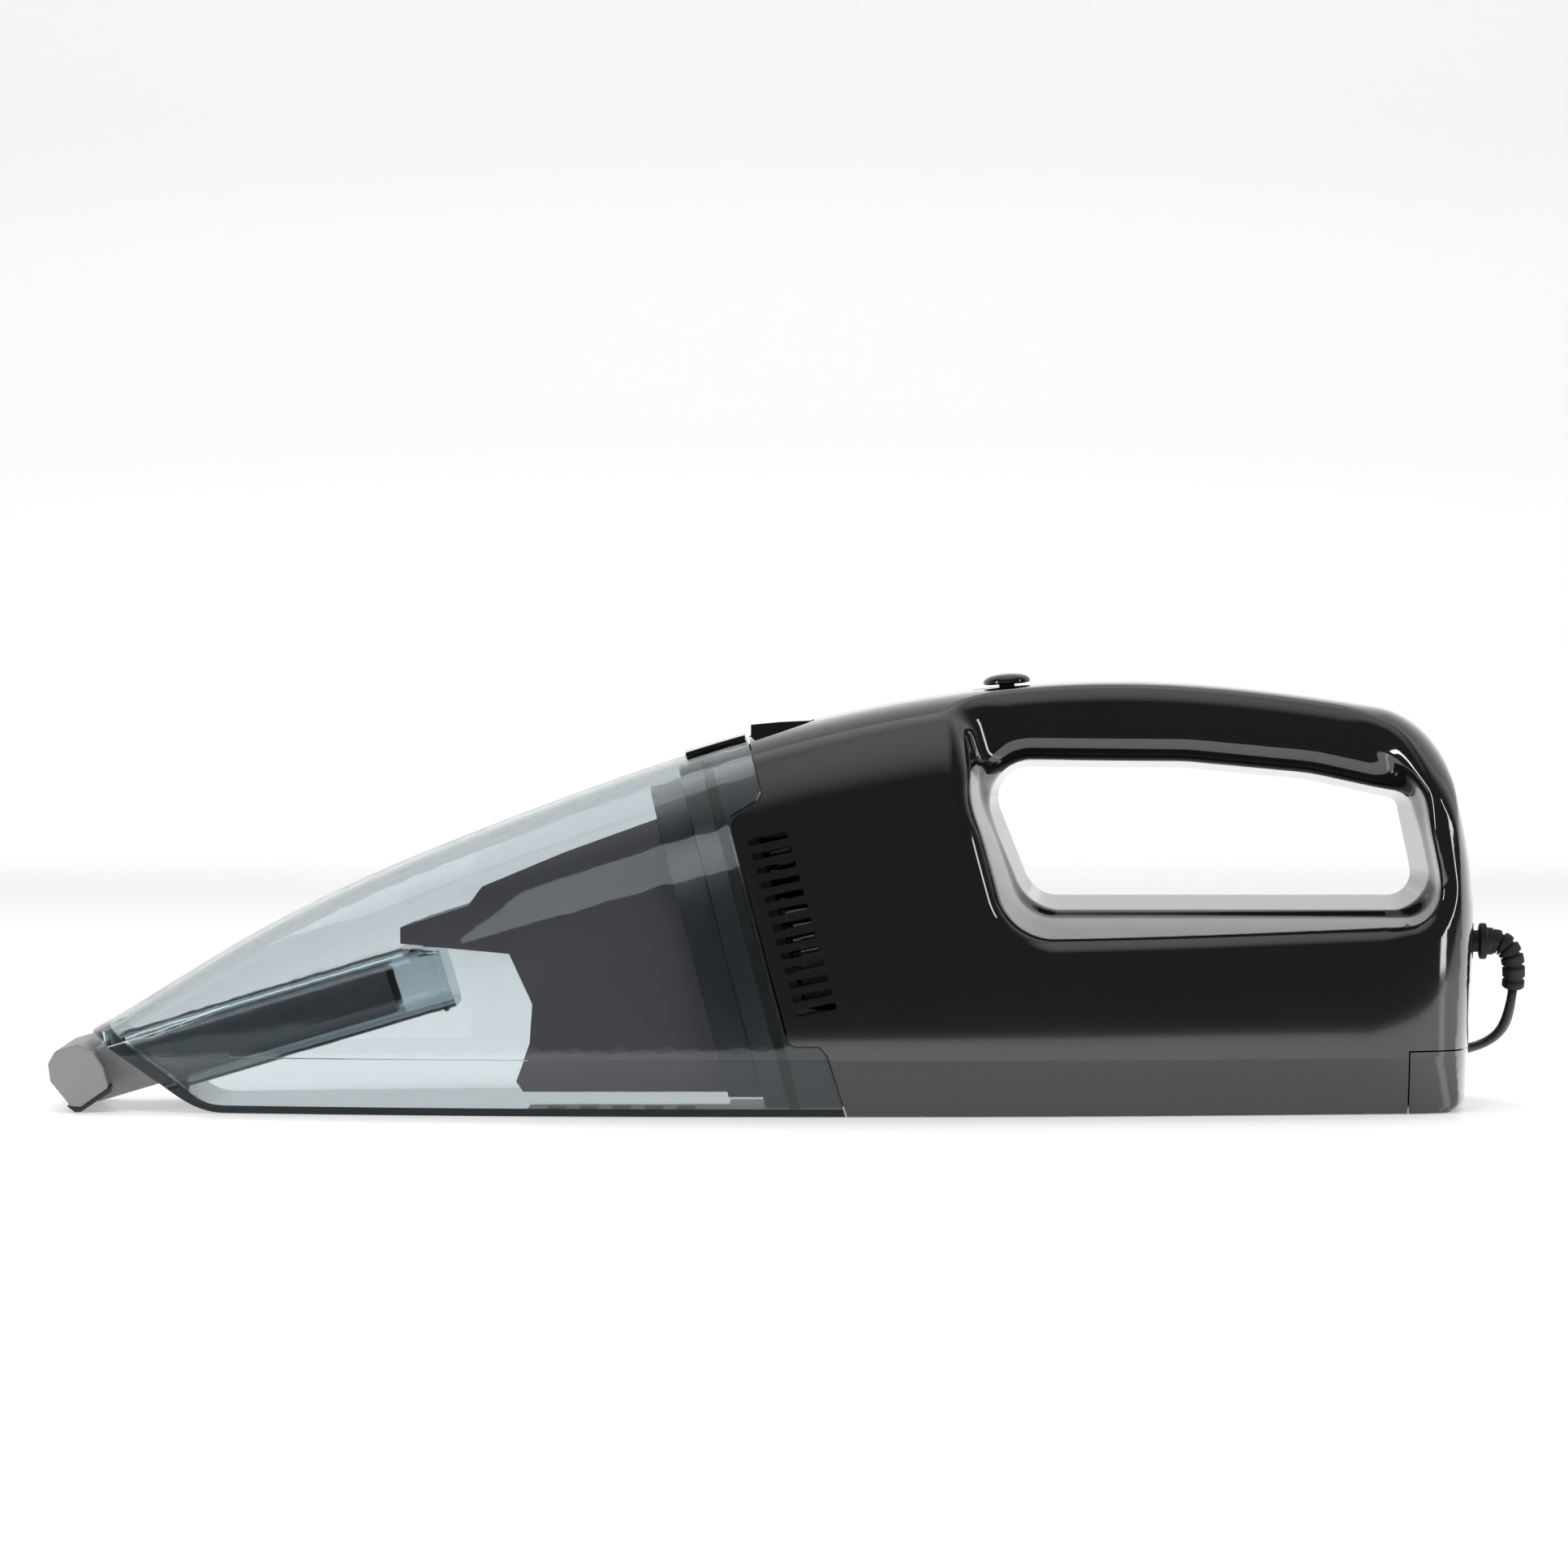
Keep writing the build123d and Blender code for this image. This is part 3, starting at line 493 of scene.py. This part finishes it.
def outline_distance(outline, x, z):
    """Signed distance to a closed outline, negative inside."""
    shape = x.shape
    points = np.stack([x.ravel(), z.ravel()], 1)
    ends = np.roll(outline, -1, 0)
    best = np.full(len(points), 1e9)
    inside = np.zeros(len(points), bool)
    for a, b in zip(outline, ends):
        run = b - a
        length = run @ run
        if length < 1e-12:
            continue
        part = np.clip(((points - a) @ run) / length, 0, 1)
        gap = points - a - part[:, None] * run
        best = np.minimum(best, (gap**2).sum(1))
        crosses = (a[1] > points[:, 1]) != (b[1] > points[:, 1])
        if run[1]:
            inside ^= crosses & (points[:, 0] < a[0] + run[0] * (points[:, 1] - a[1]) / run[1])
    return (np.sqrt(best) * np.where(inside, -1, 1)).reshape(shape)


def bezier(points, steps=60):
    """Points along a Bezier curve of any degree."""
    t = np.linspace(0, 1, steps)[:, None]
    layer = [np.array(point, float) for point in points]
    while len(layer) > 1:
        layer = [a * (1 - t) + b * t for a, b in zip(layer, layer[1:])]
    return layer[0]


def distance_table(corners):
    """Signed distances to a rounded outline on the grid of TABLE_X and TABLE_Z."""
    xs, zs = np.meshgrid(TABLE_X, TABLE_Z, indexing="ij")
    return outline_distance(rounded_outline(corners), xs, zs)


def cubic_weights(t):
    """Catmull-Rom weights of four neighbours."""
    return (((2 - t) * t - 1) * t / 2, ((3 * t - 5) * t * t + 2) / 2,
            ((4 - 3 * t) * t + 1) * t / 2, (t - 1) * t * t / 2)


def table_at(table, x, z):
    """Smooth look-up in a table of distances."""
    u = np.clip((x - TABLE_X[0]) / TABLE_PITCH, 1, len(TABLE_X) - 3)
    v = np.clip((z - TABLE_Z[0]) / TABLE_PITCH, 1, len(TABLE_Z) - 3)
    i, j = u.astype(int), v.astype(int)
    along, up = cubic_weights(u - i), cubic_weights(v - j)
    return sum(along[m] * up[n] * table[i + m - 1, j + n - 1] for m in range(4) for n in range(4))


OPENING_TABLE = distance_table(OPENING)
RECESS_TABLE = distance_table(RECESS)
REAR_LINE = np.vstack([bezier([(177.2, 0), (180, 0), (181, 1.5), (181.3, 6)]),
                       bezier([(181.3, 6), (183, 32), (187, 50), (184.2, 60), (178.3, 80.1)]),
                       [(166.6, 120)]])
PLAN_LINE = bezier([(187, 0), (187, 25), (175, 45), (120, 60)], 120)


def top_and_half(x):
    """Top height and half-width of the body at x."""
    return (spline_at(STATIONS[:, 0], STATIONS[:, 1], TOP_BEND, x),
            spline_at(STATIONS[:, 0], STATIONS[:, 2], HALF_BEND, x))


def envelope_field(x, y, z):
    """Distance to the outer form of bowl and housing; y counts outwards."""
    top, half = top_and_half(x)
    n = SQUARENESS
    a = np.maximum(y / half, 1e-6)
    b = np.maximum((z - CREASE_Z) / (top - CREASE_Z), 1e-6)
    radius = (a**n + b**n) ** (1 / n)
    slope = radius ** (1 - n) * np.hypot(a ** (n - 1) / half, b ** (n - 1) / (top - CREASE_Z))
    upper = (radius - 1) / slope
    lean = SKIRT_IN / CREASE_Z
    skirt = (y - half + lean * (CREASE_Z - z)) / hypot(1, lean)
    return np.where(z >= CREASE_Z, upper, skirt)


def past_line(line, x, along):
    """How far a point lies past a line of (x, place) points, measured square to it."""
    def edge(place):
        return np.interp(place, line[:, 1], line[:, 0])

    lean = (edge(along + 1) - edge(np.maximum(along - 1, 0))) / 2
    return (x - edge(along)) / np.hypot(1, lean)


def smooth_step(low, high, value):
    """0 up to low, 1 from high on, with a smooth rise between."""
    t = np.clip((value - low) / (high - low), 0, 1)
    return t * t * (3 - 2 * t)


def housing_field(points):
    """Signed distance to the housing's outer skin."""
    x, y, z = points[..., 0], np.abs(points[..., 1]), points[..., 2]
    recess, opening = table_at(RECESS_TABLE, x, z), table_at(OPENING_TABLE, x, z)
    rear = REAR_ROUND[0] + (REAR_ROUND[1] - REAR_ROUND[0]) * smooth_step(72, 95, z)
    form = round_max(envelope_field(x, y, z), past_line(REAR_LINE, x, z), rear)
    form = round_max(form, past_line(PLAN_LINE, x, y), PLAN_ROUND)
    wall = (recess - RECESS_DRAFT * (y - GRIP_HALF)) / hypot(1, RECESS_DRAFT)
    side = round_min(-wall, y - GRIP_HALF, HOLLOW_ROUND)
    edge = SHOULDER_ROUND + (GRIP_ROUND - SHOULDER_ROUND) * smooth_step(2, 12, -recess)
    whole = round_max(form, side, edge)
    hole = (opening - OPENING_DRAFT * y) / hypot(1, OPENING_DRAFT)
    rim = RIM_ROUND[0] + (RIM_ROUND[1] - RIM_ROUND[0]) * smooth_step(70, 84, z)
    whole = round_max(whole, -hole, rim)
    return np.maximum(whole, -z)


def gradient(field, points, step=0.02):
    """The field's slope at each point, by central differences."""
    grad = np.empty_like(points)
    for axis in range(3):
        offset = np.zeros(3)
        offset[axis] = step
        grad[:, axis] = (field(points + offset) - field(points - offset)) / (2 * step)
    return grad


def surface_net(values, origin, pitch):
    """Quads round the zero level of a grid of values, with one vertex in each crossed cell."""
    inside = values < 0
    cells = np.zeros(tuple(n - 1 for n in values.shape), np.int8)
    corners = [(i, j, k) for i in (0, 1) for j in (0, 1) for k in (0, 1)]
    nx, ny, nz = cells.shape
    for i, j, k in corners:
        cells += inside[i:i + nx, j:j + ny, k:k + nz]
    active = (cells > 0) & (cells < 8)
    index = np.full(cells.shape, -1, np.int64)
    index[active] = np.arange(active.sum())
    place = np.argwhere(active)
    total, count = np.zeros((len(place), 3)), np.zeros(len(place))
    for a in corners:
        for axis in range(3):
            if a[axis]:
                continue
            b = tuple(c + (n == axis) for n, c in enumerate(a))
            va = values[tuple((place + a).T)]
            vb = values[tuple((place + b).T)]
            crossed = (va < 0) != (vb < 0)
            part = np.where(crossed, va / np.where(crossed, va - vb, 1), 0)
            point = place + np.array(a, float)
            point[:, axis] += part
            total[crossed] += point[crossed]
            count[crossed] += 1
    verts = np.array(origin) + (total / count[:, None]) * pitch
    faces = []
    for axis in range(3):
        u, v = (axis + 1) % 3, (axis + 2) % 3
        low, high = [slice(None)] * 3, [slice(None)] * 3
        low[axis], high[axis] = slice(None, -1), slice(1, None)
        changed = inside[tuple(low)] != inside[tuple(high)]
        at = np.argwhere(changed)
        for side in (u, v):
            at = at[(at[:, side] > 0) & (at[:, side] < values.shape[side] - 1)]
        starts_inside = inside[tuple(at.T)]
        quad = []
        for du, dv in ((0, 0), (-1, 0), (-1, -1), (0, -1)):
            cell = at.copy()
            cell[:, u] += du
            cell[:, v] += dv
            quad.append(index[tuple(cell.T)])
        quad = np.stack(quad, 1)
        quad[~starts_inside] = quad[~starts_inside][:, ::-1]
        faces.append(quad)
    return verts, np.vstack(faces)


# ---- cutters ----------------------------------------------------------------------------------
def prism(points, low, high):
    """A side outline in X and Z carried from y = low to y = high, as verts and faces."""
    count = len(points)
    verts = [(x, y, z) for y in (low, high) for x, z in points]
    faces = [list(range(count))[::-1], list(range(count, 2 * count))]
    faces += [[i, (i + 1) % count, count + (i + 1) % count, count + i] for i in range(count)]
    return verts, faces


def box(x0, x1, y0, y1, z0, z1):
    """A block between two limits on each axis."""
    return prism([(x0, z0), (x0, z1), (x1, z1), (x1, z0)], y0, y1)


def round_bar(x, z, r, low, high, sides=40):
    """A round bar along Y."""
    turn = [2 * pi * k / sides for k in range(sides)]
    return prism([(x + r * sin(a), z + r * cos(a)) for a in turn], low, high)


def rod_x(y, z, r, low, high, sides=40):
    """A round bar along X."""
    verts, faces = round_bar(y, z, r, low, high, sides)
    return [(b, a, c) for a, b, c in verts], [face[::-1] for face in faces]


def vent_bar(number, side):
    """One vent slot, from outside the body to just behind its skin."""
    x, z = VENT_START[0] + VENT_SHIFT * number, VENT_START[1] - VENT_PITCH * number
    long, high = [size / 2 - VENT_CORNER for size in VENT_SIZE]
    outline = []
    for su, sv, first in ((-1, -1, 270), (-1, 1, 180), (1, 1, 90), (1, -1, 0)):
        for turn in (0, 30, 60, 90):
            a = radians(first - turn)
            u, v = su * long + VENT_CORNER * cos(a), sv * high + VENT_CORNER * sin(a)
            outline.append((x + u * cos(VENT_TILT) - v * sin(VENT_TILT),
                            z + u * sin(VENT_TILT) + v * cos(VENT_TILT)))
    top, half = [value[0] for value in top_and_half(np.array([x]))]
    rise = max(z - CREASE_Z, 0) / (top - CREASE_Z)
    depth = half * (1 - rise**SQUARENESS) ** (1 / SQUARENESS) - VENT_DEPTH
    return prism(outline, *sorted((side * depth, side * REACH)))


def solid_object(name, parts):
    """Closed solids, each verts and faces, as one object in millimetres."""
    verts, faces = [], []
    for part_verts, part_faces in parts:
        faces += [[i + len(verts) for i in face] for face in part_faces]
        verts += part_verts
    mesh = bpy.data.meshes.new(name)
    mesh.from_pydata(verts, [], faces)
    return link(bpy.data.objects.new(name, mesh))


def carve(obj, parts, operation="DIFFERENCE"):
    """Cut obj's mesh with closed solids and keep the result as its mesh."""
    tool = solid_object("cutter", parts)
    modifier = obj.modifiers.new("cut", "BOOLEAN")
    modifier.solver = "MANIFOLD"
    modifier.operation = operation
    modifier.object = tool
    graph = bpy.context.evaluated_depsgraph_get()
    result = bpy.data.meshes.new_from_object(obj.evaluated_get(graph), depsgraph=graph)
    obj.modifiers.clear()
    old, obj.data = obj.data, result
    bpy.data.meshes.remove(old)
    bpy.data.objects.remove(tool)


def field_net(level, pitch, clip):
    """Quads on one level of the housing's field, closed by a wall just past y = 0 and one in front."""
    axes = [low + pitch * np.arange(int(size / pitch)) for low, size in zip(GRID_START, GRID_SIZE)]
    grid = np.stack(np.meshgrid(*axes, indexing="ij"), -1)
    x, y, z = grid[..., 0], grid[..., 1], grid[..., 2]
    form = housing_field(grid)
    skin = np.maximum(form - level, np.maximum(y - clip, GRID_START[0] + clip - x))
    if level < 0:
        boss = np.min([np.hypot(x - a, z - b) - BOSS_R for a, b in SCREWS], 0)
        border = outline_distance(BAFFLE, x[:, 0], z[:, 0])[:, None]
        chamber = np.maximum(border + BAFFLE_WALL, -form - BAFFLE_DEPTH)
        block = np.maximum(border, -form - BAFFLE_DEPTH - BAFFLE_WALL)
        skin = np.maximum(skin, -np.minimum(boss, np.maximum(block, -chamber)))
    return surface_net(skin, GRID_START, pitch)


def settle(verts, level, pitch):
    """Move vertices exactly onto a level of the field, and those beside the crease or base onto it."""
    near = np.abs(housing_field(verts) - level) < 0.6 * pitch
    spots = verts[near]
    crease = (level == 0) & (np.abs(spots[:, 2] - CREASE_Z) < 0.55 * pitch)
    floor = (level == 0) & (np.abs(spots[:, 2]) < 0.55 * pitch)
    spots[crease, 2] = CREASE_Z
    spots[floor, 2] = 0.0
    for _ in range(3):
        slope = gradient(housing_field, spots)
        slope[crease | floor, 2] = 0
        size = np.maximum((slope**2).sum(1), 0.05)
        step = np.clip((housing_field(spots) - level) / size, -0.4, 0.4)
        spots = spots - slope * step[:, None]
    verts[near] = spots
    return verts


def skin_mesh():
    """The left half of the hollow housing, bosses included, as verts and faces in millimetres."""
    outer_verts, outer_faces = field_net(0.0, VOXEL, 2.5)
    inner_verts, inner_faces = field_net(-WALL, 2 * VOXEL, 1.5)
    outer_verts = settle(outer_verts, 0.0, VOXEL)
    inner_verts = settle(inner_verts, -WALL, VOXEL)
    faces = np.vstack([outer_faces, inner_faces[:, ::-1] + len(outer_verts)])
    return np.vstack([outer_verts, inner_verts]), faces


# ---- housing pieces ---------------------------------------------------------------------------
def read(items, name, width=1, kind=float):
    """One attribute of all of a mesh's items, as an array."""
    values = np.empty(len(items) * width, kind)
    items.foreach_get(name, values)
    return values.reshape(-1, width) if width > 1 else values


def skin_normals(mesh):
    """A normal for each face corner: the field's own on the skin, the face's own on cut walls."""
    verts = read(mesh.vertices, "co", 3)
    corner = read(mesh.loops, "vertex_index", kind=np.int64)
    sizes = read(mesh.polygons, "loop_total", kind=np.int64)
    face = np.repeat(np.arange(len(sizes)), sizes)
    centre, facing = read(mesh.polygons, "center", 3)[face], read(mesh.polygons, "normal", 3)[face]
    spots = verts[corner]
    beside = np.abs(spots[:, 2] - CREASE_Z) < 0.05
    spots[beside, 2] = CREASE_Z + 0.06 * np.sign(centre[beside, 2] - CREASE_Z)
    spots[:, 2] = np.maximum(spots[:, 2], 0.1)
    slope = gradient(housing_field, spots)
    slope /= np.maximum(np.linalg.norm(slope, axis=1, keepdims=True), 1e-6)
    level = housing_field(spots)
    outer = (np.abs(level) < 0.25) & ((slope * facing).sum(1) > 0.8) & (centre[:, 2] > 0.01)
    inner = (np.abs(level + WALL) < 0.25) & ((slope * facing).sum(1) < -0.8)
    normals = facing.copy()
    normals[outer] = slope[outer]
    normals[inner] = -slope[inner]
    return normals


def finish_skin(obj, body, node, slot):
    """Set the corner normals, scale millimetres to metres and hand the piece over."""
    mesh = obj.data
    mesh.polygons.foreach_set("use_smooth", [True] * len(mesh.polygons))
    normals = skin_normals(mesh)
    mesh.vertices.foreach_set("co", read(mesh.vertices, "co", 3).ravel() * MM)
    mesh.normals_split_custom_set(normals.tolist())
    mesh.update()
    hand_over(obj, "body_black", body, slot, node)


def raw_half(name, verts, faces, side):
    """One half of the shell as an object in millimetres; side is -1 for the left, 1 for the right."""
    placed = verts * np.array((1, -side, 1))
    outward = faces if side < 0 else faces[:, ::-1]
    mesh = bpy.data.meshes.new(name)
    mesh.from_pydata(placed.tolist(), [], outward.tolist())
    return link(bpy.data.objects.new(name, mesh))


def housing_half(name, verts, faces, side):
    """One half of the housing with its seams, vents, pocket, slot and screw holes."""
    half = raw_half(name, verts, faces, side)
    carve(half, [prism(SEAM_FRONT, -REACH, REACH)])
    carve(half, [box(CAP_X, 200, -REACH, REACH, -5, CAP_TOP)])
    carve(half, [box(-100, 300, *sorted((0, -60 * side)), -10, 150)])
    carve(half, [vent_bar(number, side) for number in range(VENT_COUNT)])
    carve(half, [box(*POCKET), box(*KNOB_SLOT), rod_x(0, RELIEF_Z, RELIEF_HOLE_R, 170, 190)])
    carve(half, [round_bar(x, z, SHANK_R, -HEAD_Y, HEAD_Y + 1) for x, z in SCREWS])
    if side > 0:
        carve(half, [round_bar(x, z, HEAD_R, HEAD_Y, REACH) for x, z in SCREWS])
    return half


def end_cap(verts, faces):
    """The low corner piece at the rear, made of both sides' skins."""
    block = [box(CAP_X + CAP_GAP, 200, -REACH, REACH, -5, CAP_TOP - CAP_GAP)]
    left = raw_half("rear_cap", verts, faces, -1)
    right = raw_half("cap_right", verts, faces, 1)
    for half in (left, right):
        carve(half, block, "INTERSECT")
    other = right.data
    join = ([tuple(v.co) for v in other.vertices], [list(p.vertices) for p in other.polygons])
    carve(left, [join], "UNION")
    bpy.data.objects.remove(right)
    return left


shell_verts, shell_faces = skin_mesh()
finish_skin(housing_half("body_left", shell_verts, shell_faces, -1), "housing", "housing_left", "body_black")
finish_skin(housing_half("body_right", shell_verts, shell_faces, 1), "housing", "housing_right", "body_black")
finish_skin(end_cap(shell_verts, shell_faces), "housing", "rear_end_cap", "cap_black")


# ---- swept shapes -----------------------------------------------------------------------------
def frames(points, first_side):
    """Unit side and normal vectors carried along a path without twist."""
    ahead = np.gradient(points, axis=0)
    ahead /= np.linalg.norm(ahead, axis=1, keepdims=True)
    sides = []
    side = np.array(first_side, float)
    for way in ahead:
        side = side - way * (side @ way)
        side /= np.linalg.norm(side)
        sides.append(side)
    sides = np.array(sides)
    return sides, np.cross(ahead, sides)


def swept(name, points, section, first_side, turns=None, closed=False):
    """A tube along points; section(i) gives the outline at point i in the side and normal directions."""
    sides, ups = frames(points, first_side)
    verts = []
    for i, (point, side, up) in enumerate(zip(points, sides, ups)):
        turn = turns[i] if turns is not None else 0.0
        across, over = side * cos(turn) + up * sin(turn), up * cos(turn) - side * sin(turn)
        verts += [point + across * u + over * v for u, v in section(i)]
    return mesh_object(name, verts, tube_faces(len(points), len(section(0)), closed))


def curve_points(curve):
    """The points of a curve without a bevel, as Blender works them out."""
    line = bpy.data.meshes.new_from_object(curve)
    return np.array([tuple(v.co) for v in line.vertices])


def turned(name, profile, height, sides=48):
    """A profile of x and radius turned about an axis along X at a height."""
    angles = [2 * pi * k / sides for k in range(sides)]
    verts = metres((x, r * cos(a), height + r * sin(a)) for x, r in profile for a in angles)
    piece = mesh_object(name, verts, tube_faces(len(profile), sides))
    piece.data.set_sharp_from_angle(angle=radians(40))
    return piece


# ---- lead -------------------------------------------------------------------------------------
def coil_points(start, length):
    """Turns of a flat-lying coil, stacked in layers, from start until the length is used up."""
    cx, cy = COIL_CENTRE
    points = []
    travelled, angle, turn = 0.0, start, 0
    while travelled < length:
        layer, place = divmod(turn, COIL_LAYER)
        inward = place if layer % 2 == 0 else COIL_LAYER - 1 - place
        radius = COIL_MEAN_R + (1.5 - inward) * CORD_WIDTH * 1.02
        height = CORD_WIDTH * (0.56 + 0.98 * layer)
        for step in range(COIL_STEPS):
            points.append((cx + radius * cos(angle), cy + radius * sin(angle), height))
            angle -= 2 * pi / COIL_STEPS
            travelled += 2 * pi * radius / COIL_STEPS
        turn += 1
    return points


def nurbs_curve(name, points):
    """A smooth curve of order 3 that starts and ends on its end points."""
    data = bpy.data.curves.new(name, "CURVE")
    data.dimensions = "3D"
    data.resolution_u = 5
    spline = data.splines.new("NURBS")
    spline.points.add(len(points) - 1)
    for slot, point in zip(spline.points, points):
        slot.co = (*point, 1)
    spline.order_u = 3
    spline.use_endpoint_u = True
    return link(bpy.data.objects.new(name, data))


def twin_section(_):
    """A flat twin lead: two round conductors side by side with a groove between them."""
    r = CORD_THICK / 2
    gap = CORD_WIDTH / 2 - r
    right = [(gap + r * cos(a), r * sin(a)) for a in np.radians(np.linspace(-120, 120, 9))]
    left = [(-gap - r * cos(a), -r * sin(a)) for a in np.radians(np.linspace(-120, 120, 9))]
    return right + left


def lead_line():
    """The lead's centre line, as the points of a smooth curve through its route and coil."""
    points = metres(ROUTE) + coil_points(COIL_START, COILED_LENGTH) + metres(PLUG_ENTRY)
    line = nurbs_curve("lead_line", points)
    path = curve_points(line)
    bpy.data.objects.remove(line)
    return path


lead_path = lead_line()
reach = np.cumsum(np.r_[0, np.linalg.norm(np.diff(lead_path, axis=0), axis=1)])
twist = 1.2 * np.sin(reach / 0.035) * np.exp(-reach / 0.3) + 0.5 * np.sin(reach / 0.09)
lead = swept("lead", lead_path, twin_section, (0, 1, 0), turns=twist)
hand_over(lead, "lead_black", "housing", "cord_black", "cord", "cord_coil")


def coil_tie():
    """A soft strap round the coil's bundle."""
    turn = np.radians(np.arange(0, 360, 7.5))
    across, up = [np.sign(way) * np.abs(way) ** 0.8 for way in (np.cos(turn), np.sin(turn))]
    path = np.stack([np.full(len(turn), COIL_CENTRE[0]),
                     COIL_CENTRE[1] + COIL_MEAN_R + TIE_HALF[0] * across, TIE_HEIGHT + TIE_HALF[1] * up], 1)
    outline = [(0.0022, 0.0002), (0.0019, 0.0004), (-0.0019, 0.0004), (-0.0022, 0.0002),
               (-0.0022, -0.0002), (-0.0019, -0.0004), (0.0019, -0.0004), (0.0022, -0.0002)]
    strap = swept("lead_tie", path, lambda _: outline, (1, 0, 0), closed=True)
    hand_over(strap, "rubber", "housing", "cord_black")


def relief_path(steps):
    """The boot's centre line: straight out of the rear wall, then down to where the lead leaves it."""
    t = np.linspace(0, 1, steps)[:, None]
    end, before = np.array(ROUTE[0]), np.array(ROUTE[1])
    knots = [np.array((x, 0, RELIEF_Z)) for x in BOOT_START] + [end + (end - before) * 0.8, end]
    weights = ((1 - t)**3, 3 * t * (1 - t)**2, 3 * t * t * (1 - t), t**3)
    return sum(weight * knot for weight, knot in zip(weights, knots)) * MM


def strain_relief():
    """The ribbed boot that leads the cord out of the rear wall and down, and its flange."""
    steps = 72
    phase = np.linspace(0, BOOT_RIBS, steps) % 1
    body = BOOT_R + BOOT_RIB * np.clip(np.minimum(phase, 1 - phase) * 9 - 0.6, 0, 1)
    radii = body * np.linspace(1.0, 0.92, steps) * MM
    turn = np.radians(np.arange(0, 360, 15))

    def ring(i):
        return [(radii[i] * cos(a), radii[i] * sin(a)) for a in turn]

    for piece in (swept("relief_boot", relief_path(steps), ring, (0, 1, 0)),
                  turned("relief_flange", FLANGE_PROFILE, RELIEF_Z)):
        hand_over(piece, "rubber", "housing", "relief_black", "strain_relief")


# ---- switch knob ------------------------------------------------------------------------------
def switch_knob(sides=64):
    """The power switch's knob: a shallow dome on a square stem, lying along the roof."""
    ring = [(cos(2 * pi * k / sides), sin(2 * pi * k / sides)) for k in range(sides)]
    verts = [(KNOB_X + r * c, r * s, KNOB_Z + h + KNOB_SLOPE * r * c)
             for r, h in KNOB_PROFILE for c, s in ring]
    faces = tube_faces(len(KNOB_PROFILE), sides)
    stem_verts, stem_faces = box(*KNOB_STEM)
    faces += [tuple(i + len(verts) for i in face) for face in stem_faces]
    knob = mesh_object("switch_knob", metres(verts + stem_verts), faces)
    knob.data.set_sharp_from_angle(angle=radians(40))
    hand_over(knob, "body_black", "knob", "knob_black", "power_knob")


coil_tie()
strain_relief()
switch_knob()
